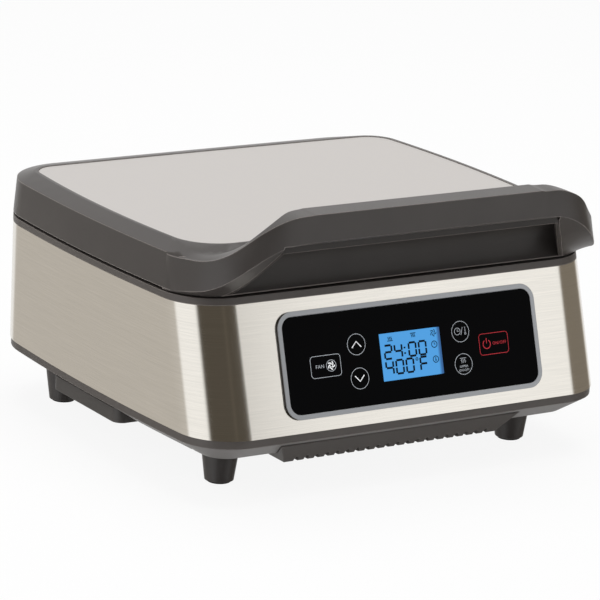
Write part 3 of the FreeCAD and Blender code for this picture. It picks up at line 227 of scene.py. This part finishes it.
LID_GREY = "#433F3D"
RIM_GREY = "#544F4C"
finishes = {
    # painted edge highlights, strongest on the lid and the handle liner, weaker on the rim
    "lid_plastic": moulded_plastic("lid_moulded_plastic", LID_GREY, 0.35, painted_edge_highlight=PAINTED_EDGE_HIGHLIGHT),
    "dark_plastic": moulded_plastic("rim_moulded_plastic", RIM_GREY, 0.42, painted_edge_highlight=RIM_PAINTED_EDGE_HIGHLIGHT),
    "liner_plastic": moulded_plastic("handle_liner_plastic", "#302C2A", 0.42, 0.7, 0.2, PAINTED_EDGE_HIGHLIGHT),
    "inner_plastic": moulded_plastic("lid_tray_plastic", "#3D3A38", 0.5),
    "vent_plastic": moulded_plastic("vent_plastic", "#484442", 0.5),
    "tray_plastic": moulded_plastic("tray_plastic", "#484543", 0.48),
    "foot_plastic": moulded_plastic("foot_plastic", "#454241", 0.45),
    "catch_plastic": moulded_plastic("catch_plastic", "#2E2C2B", 0.5),
    "fan_plastic": moulded_plastic("fan_plastic", "#222224", 0.5),
    "inlet_plastic": moulded_plastic("inlet_plastic", "#1E1E20", 0.4),
    "pad_rubber": moulded_plastic("foot_pad_rubber", "#232222", 0.75, 0.9, 0.3),
}
print("plastics", len(finishes))

# %% [markdown]
# Brushed stainless steel. Belts drag grit along the sheet, so it is covered in fine horizontal
# scratches. They spread reflections up and down and leave them sharp from side to side: the
# anisotropy of the shader does that, with its tangent turned upright. The scratches are about
# 0.1 mm apart on the real sheet and are drawn near 0.45 mm.

# %% Metals
SCRATCH_RELIEF = 0.05
SCRATCH_DEEP_MM = 0.05
SMOOTHEST = 0.85
ROUGHEST = 1.2
PALE_SHARE = 0.6
QUARTER_TURN = 0.25


def brushed_steel(name, hex_colour, roughness, along, grain_mm=0.45, anisotropy=0.0, contrast=0.08):
    """Metal sheet with scratches that run along the axes where along is small."""
    material, tree, output = new_material(name)
    place = add(tree, "ShaderNodeTexCoord").outputs["Object"]
    stretch = add(tree, "ShaderNodeMapping", {"Vector": place, "Scale": along})
    grain = add(tree, "ShaderNodeTexNoise", {"Vector": stretch.outputs["Vector"],
                                             "Scale": 1.0 / (grain_mm * MM), "Detail": 3.0})
    colour = add(tree, "ShaderNodeValToRGB", {"Fac": grain.outputs["Fac"]},
                 [(0.25, shade(hex_colour, 1.0 - contrast)),
                  (0.75, shade(hex_colour, 1.0 + PALE_SHARE * contrast))])
    rough = add(tree, "ShaderNodeMapRange", {"Value": grain.outputs["Fac"],
                                             "To Min": roughness * SMOOTHEST,
                                             "To Max": roughness * ROUGHEST})
    bump = add(tree, "ShaderNodeBump", {"Height": grain.outputs["Fac"], "Strength": SCRATCH_RELIEF,
                                        "Distance": SCRATCH_DEEP_MM * MM})
    shader = add(tree, "ShaderNodeBsdfPrincipled", {
        "Base Color": colour.outputs["Color"], "Metallic": 1.0, "Roughness": rough.outputs["Result"],
        "Normal": bump.outputs["Normal"], "Anisotropic": anisotropy,
        "Anisotropic Rotation": QUARTER_TURN})
    if anisotropy:
        tangent = add(tree, "ShaderNodeTangent", direction_type="RADIAL", axis="Z")
        tree.links.new(tangent.outputs["Tangent"], shader.inputs["Tangent"])
    tree.links.new(shader.outputs["BSDF"], output.inputs["Surface"])
    return material


SIDEWAYS = (0.012, 0.012, 1.0)
FRONT_TO_BACK = (1.0, 0.02, 1.0)
EVEN = (1.0, 1.0, 1.0)
finishes["brushed_steel"] = brushed_steel("brushed_stainless_band", "#E9E5DD", 0.17, SIDEWAYS,
                                          anisotropy=0.8)
finishes["lid_steel"] = brushed_steel("satin_lid_steel", "#E3DFDC", 0.42, FRONT_TO_BACK, 0.6,
                                      contrast=0.025)
finishes["silver_trim"] = brushed_steel("satin_silver_trim", "#B0B3B7", 0.30, EVEN, 0.8)
finishes["heater_steel"] = brushed_steel("heater_sheath", "#5A5654", 0.5, EVEN, 1.2)
finishes["reflector_sheet"] = brushed_steel("aluminised_sheet", "#B8B8B6", 0.3, SIDEWAYS, 0.8)
finishes["filter_aluminium"] = brushed_steel("filter_aluminium", "#B4B6B8", 0.4, EVEN, 0.8)
finishes["screw_steel"] = brushed_steel("zinc_plated_screws", "#A8A8A6", 0.35, EVEN, 0.6)
finishes["pin_steel"] = brushed_steel("ground_pin_steel", "#B0B0AE", 0.25, SIDEWAYS, 0.6)
finishes["motor_steel"] = brushed_steel("motor_can_steel", "#A9A9AA", 0.35, EVEN, 0.8)
finishes["contact_brass"] = brushed_steel("contact_brass", "#B99A55", 0.3, EVEN, 0.6)
print("finishes so far", len(finishes))

# %% [markdown]
# The cooking plates are cast aluminium under a dark non stick coating with fine pale specks, and
# the hinges are steel under black stove enamel. Both are a smooth skin over a slightly uneven
# body, so the grain is coarse and low. The boards are green lacquer over copper tracks.

# %% Coatings
SPECK_EDGE = 0.06
COAT_RELIEF = 0.12
COAT_DEEP_MM = 0.15


def speckled_coat(name, hex_colour, speck_colour, roughness, speck_mm=1.1, amount=0.66):
    """Baked coating with small specks."""
    material, tree, output = new_material(name)
    place = add(tree, "ShaderNodeTexCoord").outputs["Object"]
    specks = add(tree, "ShaderNodeTexNoise", {"Vector": place, "Scale": 1.0 / (speck_mm * MM),
                                              "Detail": 1.0})
    colour = add(tree, "ShaderNodeValToRGB", {"Fac": specks.outputs["Fac"]},
                 [(amount, linear(hex_colour)), (amount + SPECK_EDGE, linear(speck_colour))])
    bump = add(tree, "ShaderNodeBump", {"Height": specks.outputs["Fac"], "Strength": COAT_RELIEF,
                                        "Distance": COAT_DEEP_MM * MM})
    shader = add(tree, "ShaderNodeBsdfPrincipled", {
        "Base Color": colour.outputs["Color"], "Roughness": roughness,
        "Normal": bump.outputs["Normal"], "IOR": PLASTIC_IOR})
    tree.links.new(shader.outputs["BSDF"], output.inputs["Surface"])
    return material


finishes["coated_aluminium"] = speckled_coat("non_stick_coating", "#252424", "#4A4846", 0.38)
finishes["hinge_steel"] = speckled_coat("stove_enamel", "#242323", "#2E2D2D", 0.35, 0.8)
finishes["circuit_board"] = speckled_coat("lacquered_board", "#1E4A2C", "#3F7A4A", 0.35, 2.2, 0.55)
print("finishes so far", len(finishes))

# %% [markdown]
# The panel is a pane of hardened glass, printed black from behind, so it looks like ink with a
# faint gloss. The display behind its window is a backlit film: it glows evenly, apart from a
# darker strip at its right edge. The keys are white and red print.

# %% Panel finishes
HAZE_MM = 25.0
HAZE = 0.05
DARK_FILM = (0.01, 0.01, 0.02, 1.0)
FADE_BEFORE_MM = 1.2
FADE_AFTER_MM = 1.0
BACKLIGHT = 0.95


def flat_finish(name, hex_colour, roughness, specular, glow=0.0):
    """Print or glass: a smooth colour with a little gloss, and a glow if it is backlit."""
    material, tree, output = new_material(name)
    place = add(tree, "ShaderNodeTexCoord").outputs["Object"]
    haze = add(tree, "ShaderNodeTexNoise", {"Vector": place, "Scale": 1.0 / (HAZE_MM * MM),
                                            "Detail": 2.0})
    colour = add(tree, "ShaderNodeValToRGB", {"Fac": haze.outputs["Fac"]},
                 [(0.3, shade(hex_colour, 1.0 - HAZE)), (0.7, shade(hex_colour, 1.0 + HAZE))])
    shader = add(tree, "ShaderNodeBsdfPrincipled", {
        "Base Color": colour.outputs["Color"], "Roughness": roughness, "Specular IOR Level": specular,
        "Emission Color": linear(hex_colour), "Emission Strength": glow})
    tree.links.new(shader.outputs["BSDF"], output.inputs["Surface"])
    return material


def backlit_film(name, hex_colour, edge_colour, edge_x):
    """Display film whose glow darkens past edge_x."""
    material, tree, output = new_material(name)
    place = add(tree, "ShaderNodeTexCoord").outputs["Object"]
    across = add(tree, "ShaderNodeSeparateXYZ", {"Vector": place})
    step = add(tree, "ShaderNodeMapRange", {"Value": across.outputs["X"],
                                            "From Min": edge_x - FADE_BEFORE_MM * MM,
                                            "From Max": edge_x + FADE_AFTER_MM * MM})
    glow = add(tree, "ShaderNodeValToRGB", {"Fac": step.outputs["Result"]},
               [(0.0, linear(hex_colour)), (1.0, linear(edge_colour))])
    shader = add(tree, "ShaderNodeBsdfPrincipled", {
        "Base Color": DARK_FILM, "Roughness": 0.3, "Specular IOR Level": 0.1,
        "Emission Color": glow.outputs["Color"], "Emission Strength": BACKLIGHT})
    tree.links.new(shader.outputs["BSDF"], output.inputs["Surface"])
    return material


DISPLAY_EDGE_X = 25.2 * MM
finishes["panel_glass"] = flat_finish("black_printed_glass", "#020203", 0.10, 0.03)
finishes["display"] = backlit_film("display_film", "#50A2E4", "#35649A", DISPLAY_EDGE_X)
key_print = flat_finish("white_key_print", "#B4B9BF", 0.4, 0.2, 0.2)
chevron_print = flat_finish("bright_key_print", "#EEF0F2", 0.4, 0.2, 0.42)
red_print = flat_finish("red_key_print", "#B5303A", 0.4, 0.2, 0.3)
segment_ink = flat_finish("dark_segments", "#0B1420", 0.5, 0.1)
print("slots with a finish", len(finishes))

# %% [markdown]
# The frame's meshes are loose triangles, which shade as flat facets. A finished copy merges
# their corners, dissolves the cuts across flat faces and bevels every sharp edge by a few
# tenths of a millimetre, as a mould or a press leaves it. The lid frame and a few small pieces
# keep the edges of their solid, so their creases count as sharp from a smaller angle and their
# normals are weighed by corner angle instead of by area. The copy then stands for the node.

# %% Finished copies of the solids
SHARP = math.radians(28.0)
CREASE_BEVELLED = math.radians(40.0)
CREASE_PLAIN = math.radians(14.0)
FLAT = math.radians(0.03)
MERGE = 0.002 * MM
EDGE_SEGMENTS = 2


def finished_copy(node, edge_mm):
    """A copy of a node with merged corners and softened edges, riding where the node rides."""
    source = frame["nodes"][node]
    mesh = source.data.copy()
    mesh.name = node + "_finished"
    work = bmesh.new()
    work.from_mesh(mesh)
    bmesh.ops.remove_doubles(work, verts=work.verts, dist=MERGE)
    bmesh.ops.dissolve_limit(work, angle_limit=FLAT, verts=work.verts, edges=work.edges)
    sharp = [e for e in work.edges if e.is_manifold and e.calc_face_angle(0.0) > SHARP]
    if edge_mm and sharp:
        bmesh.ops.bevel(work, geom=sharp, offset=edge_mm * MM, offset_type="OFFSET",
                        segments=EDGE_SEGMENTS, profile=0.5, affect="EDGES", material=-1,
                        clamp_overlap=True, loop_slide=True)
    for face in work.faces:
        face.smooth = True
    work.to_mesh(mesh)
    work.free()
    mesh.set_sharp_from_angle(angle=CREASE_BEVELLED if edge_mm else CREASE_PLAIN)
    piece = bpy.data.objects.new(node + "_finished", mesh)
    bpy.context.scene.collection.objects.link(piece)
    smoothing = piece.modifiers.new("face_weighted_normals", "WEIGHTED_NORMAL")
    smoothing.keep_sharp = True
    smoothing.mode = "FACE_AREA" if edge_mm else "CORNER_ANGLE"
    piece.data.materials.clear()
    piece.data.materials.append(finishes[slots[node]])
    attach(piece, source["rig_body"])
    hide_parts(node)
    return piece


EDGES_MM = {
    "lid_frame": 0.0, "lid_top_plate": 0.25, "handle_liner": 0.3, "base_rim": 0.4, "base_pan": 0.4,
    "front_vent": 0.3, "steel_wrap": 0.2, "control_bezel": 0.35, "control_glass": 0.2,
    "lcd_module": 0.0, "drip_tray": 0.4, "lid_liner": 0.3, "lower_grill_plate": 0.5,
    "upper_grill_plate": 0.5, "foot_front_left": 0.5, "foot_front_right": 0.5,
    "foot_rear_left": 0.5, "foot_rear_right": 0.5, "power_inlet": 0.3, "hinge_ear_left": 0.3,
    "hinge_ear_right": 0.3, "hinge_leaf_left": 0.3, "hinge_leaf_right": 0.3, "foot_pads": 0.3,
    "lower_catch": 0.2, "upper_catch": 0.2, "fan_housing": 0.3, "fan_rotor": 0.0,
    "tray_runners": 0.0,
}
for node in sorted(EDGES_MM):
    piece = finished_copy(node, EDGES_MM[node])
    print(piece.name, len(piece.data.polygons))

for node, thing in frame["nodes"].items():
    if node not in EDGES_MM:
        thing.data.materials.clear()
        thing.data.materials.append(finishes[slots[node]])

# %% [markdown]
# The print on the panel is drawn on a flat sheet and then laid on the leaning glass. On the
# sheet, x runs across the object and y runs up the slope from the foot of the steel band, both
# in millimetres. The slope comes from the frame: the rim starts as far back as the front leans.

# %% Where the panel lies
wrap_low, wrap_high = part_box("steel_wrap")
rim_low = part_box("base_rim")[0]
lean = math.atan2(rim_low[1] - wrap_low[1], wrap_high[2] - wrap_low[2])
panel_turn = Matrix.Rotation(math.pi / 2.0 - lean, 4, "X")
panel_place = Matrix.Translation((0.0, wrap_low[1], wrap_low[2])) @ panel_turn
GLASS_LIFT = 1.2
FILM_LIFT = 1.1
PRINT_LIFT = 0.04
INK_THICK = 0.04
print("front leans", round(math.degrees(lean), 2), "degrees")


def line_art(name, strokes, width, lift, finish):
    """Flat print: strokes are (points, closed) in millimetres on the panel's sheet."""
    curve = bpy.data.curves.new(name, "CURVE")
    curve.dimensions = "3D"
    curve.bevel_depth = width / 2.0
    curve.bevel_resolution = 1
    curve.use_fill_caps = True
    for points, closed in strokes:
        spline = curve.splines.new("POLY")
        spline.points.add(len(points) - 1)
        for point, (x, y) in zip(spline.points, points):
            point.co = (x, y, 0.0, 1.0)
        spline.use_cyclic_u = closed
    drawn = bpy.data.objects.new(name + "_curve", curve)
    bpy.context.scene.collection.objects.link(drawn)
    mesh = bpy.data.meshes.new_from_object(drawn)
    bpy.data.objects.remove(drawn)
    return lay_on_panel(name, mesh, INK_THICK / width, lift, finish)


def lay_on_panel(name, mesh, thickness, lift, finish):
    """Flatten a drawing, put it on the panel and let it ride on the base."""
    mesh.name = name
    sheet = Matrix.Translation((0.0, 0.0, lift * MM)) @ Matrix.Diagonal((MM, MM, MM * thickness, 1.0))
    mesh.transform(panel_place @ sheet)
    mesh.materials.clear()
    mesh.materials.append(finish)
    piece = bpy.data.objects.new(name, mesh)
    bpy.context.scene.collection.objects.link(piece)
    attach(piece, "base")
    return piece


def arc(x, y, radius, start=0.0, end=360.0, count=40):
    """Points of an arc, in degrees."""
    steps = [math.radians(start + (end - start) * i / count) for i in range(count + 1)]
    return [(x + radius * math.cos(a), y + radius * math.sin(a)) for a in steps]


def circle(x, y, radius):
    """Closed ring of points."""
    return (arc(x, y, radius)[:-1], True)


def rounded_frame(x0, x1, y0, y1, radius):
    """Closed outline of a key with round corners."""
    points = arc(x1 - radius, y1 - radius, radius, 0, 90, 8)
    points += arc(x0 + radius, y1 - radius, radius, 90, 180, 8)
    points += arc(x0 + radius, y0 + radius, radius, 180, 270, 8)
    points += arc(x1 - radius, y0 + radius, radius, 270, 360, 8)
    return (points, True)


# %% [markdown]
# The keys. A touch key has no travel: it is an outline and a sign. The outlines are thin grey
# lines, the arrows are brighter and bolder, and the power key is red.

# %% Key outlines and signs
KEY_RADIUS = 7.5
UP_KEY = (-44.7, 57.5)
DOWN_KEY = (-44.7, 33.2)
TIME_KEY = (44.9, 57.0)
HEAT_KEY = (44.8, 33.4)
FAN_KEY = (-84.5, -59.4, 37.3, 52.7)
POWER_KEY = (60.3, 85.6, 37.8, 53.1)
FAN_KEY_CORNER = 2.6
POWER_KEY_CORNER = 2.4
FAN_SIGN_INSET = 8.0
FAN_SIGN_SIZE = 3.6
FAN_RING = 4.0
POWER_SIGN_INSET = 6.4
POWER_RING = 3.2
RING_FROM = 125
RING_TO = 415
ARROW_REACH = 3.9
ARROW_RISE = 2.1
OUTLINE_WIDTH = 0.42
FINE_WIDTH = 0.45
POWER_SIGN_WIDTH = 0.7
ARROW_WIDTH = 0.78
BLADE_WIDTH = 0.9
SIGN_LIFT = GLASS_LIFT + PRINT_LIFT


def chevron(x, y, up):
    """Arrow head of a key."""
    rise = ARROW_RISE if up else -ARROW_RISE
    return ([(x - ARROW_REACH, y - rise), (x, y + rise), (x + ARROW_REACH, y - rise)], False)


def fan_sign(x, y, size):
    """Swirling blades of the fan sign."""
    strokes = []
    for k in range(5):
        blade = []
        for i in range(7):
            reach = size * (0.22 + 0.6 * i / 6.0)
            angle = math.radians(72.0 * k + 75.0 * i / 6.0)
            blade.append((x + reach * math.cos(angle), y + reach * math.sin(angle)))
        strokes.append((blade, False))
    return strokes


def heater_sign(x, y, size, bar_above):
    """Three waves of heat against a bar."""
    strokes = []
    for k in (-1, 0, 1):
        wave = []
        for i in range(9):
            t = i / 8.0
            wave.append((x + k * size * 0.55 + size * 0.12 * math.sin(t * 2 * math.pi),
                         y + size * (t - 0.5)))
        strokes.append((wave, False))
    bar = y + size * (0.75 if bar_above else -0.75)
    strokes.append(([(x - size, bar), (x + size, bar)], False))
    return strokes


def clock_sign(x, y, size):
    """Face and hands of a clock."""
    return [circle(x, y, size), ([(x, y + size * 0.6), (x, y), (x + size * 0.5, y)], False)]


def thermometer_sign(x, y, size):
    """Stem and bulb of a thermometer."""
    return [([(x, y + size), (x, y - size * 0.4)], False), circle(x, y - size * 0.75, size * 0.22)]


outlines = [circle(*UP_KEY, KEY_RADIUS), circle(*DOWN_KEY, KEY_RADIUS)]
outlines += [circle(*TIME_KEY, KEY_RADIUS), circle(*HEAT_KEY, KEY_RADIUS)]
outlines += [rounded_frame(*FAN_KEY, FAN_KEY_CORNER)]
line_art("key_outlines", outlines, OUTLINE_WIDTH, SIGN_LIFT, key_print)
arrows = [chevron(*UP_KEY, True), chevron(*DOWN_KEY, False)]
line_art("arrow_signs", arrows, ARROW_WIDTH, SIGN_LIFT, chevron_print)
fan_x = FAN_KEY[1] - FAN_SIGN_INSET
fan_y = (FAN_KEY[2] + FAN_KEY[3]) / 2.0
blades = fan_sign(fan_x, fan_y, FAN_SIGN_SIZE)
line_art("fan_blades_sign", blades, BLADE_WIDTH, SIGN_LIFT, chevron_print)
small = [circle(fan_x, fan_y, FAN_RING)]
small += clock_sign(TIME_KEY[0] - 2.6, TIME_KEY[1] + 0.3, 2.5)
small += [([(TIME_KEY[0] + 0.3, TIME_KEY[1] - 2.6), (TIME_KEY[0] + 2.0, TIME_KEY[1] + 3.0)], False)]
small += thermometer_sign(TIME_KEY[0] + 4.2, TIME_KEY[1] + 0.3, 2.8)
small += heater_sign(HEAT_KEY[0], HEAT_KEY[1] + 2.3, 2.7, True)
line_art("small_signs", small, FINE_WIDTH, SIGN_LIFT, key_print)
power = [rounded_frame(*POWER_KEY, POWER_KEY_CORNER)]
line_art("power_key_outline", power, FINE_WIDTH, SIGN_LIFT, red_print)
power_x = POWER_KEY[0] + POWER_SIGN_INSET
power_y = (POWER_KEY[2] + POWER_KEY[3]) / 2.0
power_sign = [(arc(power_x, power_y, POWER_RING, RING_FROM, RING_TO), False)]
power_sign += [([(power_x, power_y + 0.6), (power_x, power_y + 4.4)], False)]
line_art("power_sign", power_sign, POWER_SIGN_WIDTH, SIGN_LIFT, red_print)
print("key outlines", len(outlines) + len(power), "small signs drawn with", len(small), "strokes")

# %% [markdown]
# Three keys carry a word: what the fan key works, and the plain switch marking of the power key
# and the upper plate's key. A text object gives the letters, which become a mesh before they are
# laid on the glass.

# %% Words on the keys
LETTER_DEPTH = 0.5
WORD_THICK = 0.06
LETTER_SPACING = 1.12
FAN_LETTERS = 3.6
POWER_LETTERS = 3.1
SMALL_LETTERS = 2.3
FAN_WORD_RIGHT = 7.6
POWER_WORD_RIGHT = 17.6
UPPER_WORD_DROP = 1.7
UPPER_SWITCH_DROP = 4.4


def key_word(name, words, x, y, size, finish):
    """Letters centred at a place on the panel."""
    letters = bpy.data.curves.new(name, "FONT")
    letters.body = words
    letters.size = size
    letters.align_x = "CENTER"
    letters.align_y = "CENTER"
    letters.space_character = LETTER_SPACING
    letters.extrude = LETTER_DEPTH
    drawn = bpy.data.objects.new(name + "_text", letters)
    bpy.context.scene.collection.objects.link(drawn)
    mesh = bpy.data.meshes.new_from_object(drawn)
    bpy.data.objects.remove(drawn)
    mesh.transform(Matrix.Translation((x, y, 0.0)))
    return lay_on_panel(name, mesh, WORD_THICK, SIGN_LIFT, finish)


key_word("fan_word", "FAN", FAN_KEY[0] + FAN_WORD_RIGHT, fan_y, FAN_LETTERS, key_print)
key_word("power_word", "ON/OFF", POWER_KEY[0] + POWER_WORD_RIGHT, power_y, POWER_LETTERS, red_print)
key_word("upper_word", "UPPER", HEAT_KEY[0], HEAT_KEY[1] - UPPER_WORD_DROP, SMALL_LETTERS, key_print)
last = key_word("upper_switch_word", "ON/OFF", HEAT_KEY[0], HEAT_KEY[1] - UPPER_SWITCH_DROP,
                SMALL_LETTERS, key_print)
print("faces of the smallest word", len(last.data.polygons))

# %% [markdown]
# The display shows a time over a temperature in seven segment figures, with small signs along
# its top and right edges. Each segment is a short bar; a table says which bars a figure lights.

# %% Display figures
FIGURE_WIDTH = 6.0
FIGURE_HEIGHT = 9.6
SEGMENT_WIDTH = 1.5
SEGMENT_GAP = 0.42
LIT = {"0": "abcdef", "2": "abged", "4": "fgbc", "F": "aefg"}


def figure(sign, x, y):
    """Lit bars of one figure, whose lower left corner is at x, y."""
    w, h, g = FIGURE_WIDTH, FIGURE_HEIGHT, SEGMENT_GAP
    half = h / 2.0
    bars = {
        "a": [(x + g, y + h), (x + w - g, y + h)],
        "b": [(x + w, y + h - g), (x + w, y + half + g)],
        "c": [(x + w, y + half - g), (x + w, y + g)],
        "d": [(x + g, y), (x + w - g, y)],
        "e": [(x, y + half - g), (x, y + g)],
        "f": [(x, y + h - g), (x, y + half + g)],
        "g": [(x + g, y + half), (x + w - g, y + half)],
    }
    return [(bars[name], False) for name in LIT[sign]]


ROW_LEFT = -21.5
FIGURE_PITCH = 8.7
COLON_ROOM = 3.4
TIME_ROW = 44.2
HEAT_ROW = 32.9
COLON_DOTS = (2.6, 6.6)
DEGREE_RING = 0.9
SIGN_ROW = 58.6
SIGN_COLUMN = 21.4
LOWER_SIGN_X = -16.0
UPPER_SIGN_X = 4.0
HEATER_SIZE = 2.3
FAN_SIZE = 3.2
SIGN_RING = 2.3
CLOCK_Y = 50.4
PROBE_Y = 39.6
SIGN_WIDTH = 0.6
segments = []
for i, sign in enumerate("24"):
    segments += figure(sign, ROW_LEFT + i * FIGURE_PITCH, TIME_ROW)
for i, sign in enumerate("00"):
    segments += figure(sign, ROW_LEFT + (i + 2) * FIGURE_PITCH + COLON_ROOM, TIME_ROW)
for i, sign in enumerate("400"):
    segments += figure(sign, ROW_LEFT + i * FIGURE_PITCH, HEAT_ROW)
segments += figure("F", ROW_LEFT + 3 * FIGURE_PITCH + COLON_ROOM, HEAT_ROW)
colon_x = ROW_LEFT + 2 * FIGURE_PITCH - 0.2
for up in COLON_DOTS:
    segments += [([(colon_x, TIME_ROW + up - 0.6), (colon_x, TIME_ROW + up + 0.6)], False)]
FIGURE_LIFT = FILM_LIFT + PRINT_LIFT
line_art("display_figures", segments, SEGMENT_WIDTH, FIGURE_LIFT, segment_ink)
marks = [circle(ROW_LEFT + 3 * FIGURE_PITCH + 0.6, HEAT_ROW + FIGURE_HEIGHT - 1.0, DEGREE_RING)]
marks += heater_sign(LOWER_SIGN_X, SIGN_ROW, HEATER_SIZE, False)
marks += heater_sign(UPPER_SIGN_X, SIGN_ROW, HEATER_SIZE, True)
marks += fan_sign(SIGN_COLUMN, SIGN_ROW, FAN_SIZE)
marks += [circle(SIGN_COLUMN, CLOCK_Y, SIGN_RING), circle(SIGN_COLUMN, PROBE_Y, SIGN_RING)]
hands = [(SIGN_COLUMN, CLOCK_Y + 1.4), (SIGN_COLUMN, CLOCK_Y), (SIGN_COLUMN + 1.0, CLOCK_Y)]
marks += [(hands, False)]
marks += thermometer_sign(SIGN_COLUMN, PROBE_Y + 0.3, 1.3)
line_art("display_signs", marks, SIGN_WIDTH, FIGURE_LIFT, segment_ink)
print("lit segments", len(segments), "small marks", len(marks))

# %% [markdown]
# The studio. The floor and the world are white for the camera. Lamps give the plain soft light,
# and the world gives metal something to mirror: pale walls with dark screens between them, so
# that the rounded steel corners show upright bands, as they do in a product studio. Each row of
# the table is a direction, in degrees from the X axis, and how pale the wall is there.

# %% World
WALLS = [
    (-180, 1.05), (-151, 1.05), (-145, 0.09), (-96, 0.09), (-92, 0.12), (-88, 0.09), (-63.5, 0.09),
    (-60, 1.06), (-46, 1.06), (-41, 0.22), (15, 0.22), (21, 0.5), (28, 0.9), (92, 0.9), (98, 0.55),
    (130, 0.56), (160, 0.60), (166, 1.05), (180, 1.05),
]
DARK_TINT = (1.0, 0.86, 0.68)
TINT_REACH = 1.3
TINT_FALL = 1.5
SOFT_LIGHT = (0.42, 0.42, 0.42, 1.0)
WHITE = (1.0, 1.0, 1.0, 1.0)


def wall_stop(azimuth, level):
    """A ramp stop: low levels take a warm tint."""
    share = min(1.0, TINT_REACH * (1.0 - min(level, 1.0)) ** TINT_FALL)
    tint = [1.0 - (1.0 - t) * share for t in DARK_TINT]
    return ((azimuth + 180.0) / 360.0, (level * tint[0], level * tint[1], level * tint[2], 1.0))


def build_world():
    """White to the camera, even to soft surfaces, and walls with screens to glossy ones."""
    world = bpy.data.worlds.new("studio")
    bpy.context.scene.world = world
    world.use_nodes = True
    tree = world.node_tree
    tree.nodes.clear()
    direction = add(tree, "ShaderNodeTexCoord").outputs["Generated"]
    parts = add(tree, "ShaderNodeSeparateXYZ", {"Vector": direction})
    azimuth = add(tree, "ShaderNodeMath", {0: parts.outputs["Y"], 1: parts.outputs["X"]},
                  operation="ARCTAN2")
    along = add(tree, "ShaderNodeMapRange", {"Value": azimuth.outputs["Value"], "From Min": -math.pi,
                                             "From Max": math.pi})
    walls = add(tree, "ShaderNodeValToRGB", {"Fac": along.outputs["Result"]},
                [wall_stop(a, level) for a, level in WALLS])
    ray = add(tree, "ShaderNodeLightPath")
    soft = add(tree, "ShaderNodeMix", {
        0: ray.outputs["Is Glossy Ray"], FIRST_COLOUR: SOFT_LIGHT,
        SECOND_COLOUR: walls.outputs["Color"]}, data_type="RGBA")
    seen = add(tree, "ShaderNodeMix", {
        0: ray.outputs["Is Camera Ray"], FIRST_COLOUR: soft.outputs[MIXED_COLOUR],
        SECOND_COLOUR: WHITE}, data_type="RGBA")
    background = add(tree, "ShaderNodeBackground", {"Color": seen.outputs[MIXED_COLOUR],
                                                     "Strength": 1.0})
    output = add(tree, "ShaderNodeOutputWorld")
    tree.links.new(background.outputs["Background"], output.inputs["Surface"])


build_world()
print("wall stops", len(WALLS))

# %% [markdown]
# The floor is one pale sheet. To the camera it is nearly white and keeps a faint shadow, and
# glossy rays pass it by. Three square soft lamps light the object: one from the left for the side
# wall and the sweep of the handle, a broad one overhead and a weak one in front. Nothing
# mirrors them, because the walls already give all the reflections.

# %% Floor and lamps
FLOOR_SIZE = 6.0
FLOOR_GLOW = 0.9
FLOOR_TONE = (0.9, 0.9, 0.9, 1.0)
LAMP_AIM = Vector((0.0, 0.0, 0.1))
LAMPS = [
    ("key_lamp", (-2.1, -0.7, 1.7), 1.2, 14.0),
    ("top_lamp", (0.2, 0.3, 2.4), 1.8, 36.0),
    ("fill_lamp", (1.0, -2.3, 0.6), 1.4, 5.0),
]


def build_floor():
    """Pale floor that keeps a faint shadow."""
    mesh = bpy.data.meshes.new("floor")
    work = bmesh.new()
    bmesh.ops.create_grid(work, x_segments=8, y_segments=8, size=FLOOR_SIZE)
    work.to_mesh(mesh)
    work.free()
    floor = bpy.data.objects.new("floor", mesh)
    bpy.context.scene.collection.objects.link(floor)
    material, tree, output = new_material("pale_floor")
    matt = add(tree, "ShaderNodeBsdfDiffuse", {"Color": FLOOR_TONE})
    white = add(tree, "ShaderNodeEmission", {"Color": WHITE, "Strength": 1.0})
    ray = add(tree, "ShaderNodeLightPath")
    share = add(tree, "ShaderNodeMath", {0: ray.outputs["Is Camera Ray"], 1: FLOOR_GLOW},
                operation="MULTIPLY")
    mixed = add(tree, "ShaderNodeMixShader", {0: share.outputs["Value"], 1: matt.outputs["BSDF"],
                                              2: white.outputs["Emission"]})
    tree.links.new(mixed.outputs["Shader"], output.inputs["Surface"])
    mesh.materials.append(material)
    floor.visible_glossy = False


def add_lamp(name, place, size, watts):
    """A square soft lamp that points at the middle of the object."""
    lamp = bpy.data.lights.new(name, "AREA")
    lamp.size = size
    lamp.energy = watts
    thing = bpy.data.objects.new(name, lamp)
    thing.visible_glossy = False
    bpy.context.scene.collection.objects.link(thing)
    turn = (LAMP_AIM - Vector(place)).to_track_quat("-Z", "Y").to_matrix().to_4x4()
    thing.matrix_world = Matrix.Translation(place) @ turn


build_floor()
for lamp in LAMPS:
    add_lamp(*lamp)
bpy.context.scene.view_settings.view_transform = "Standard"
print("lamps", len(LAMPS), "watts in all", sum(watts for name, place, size, watts in LAMPS))
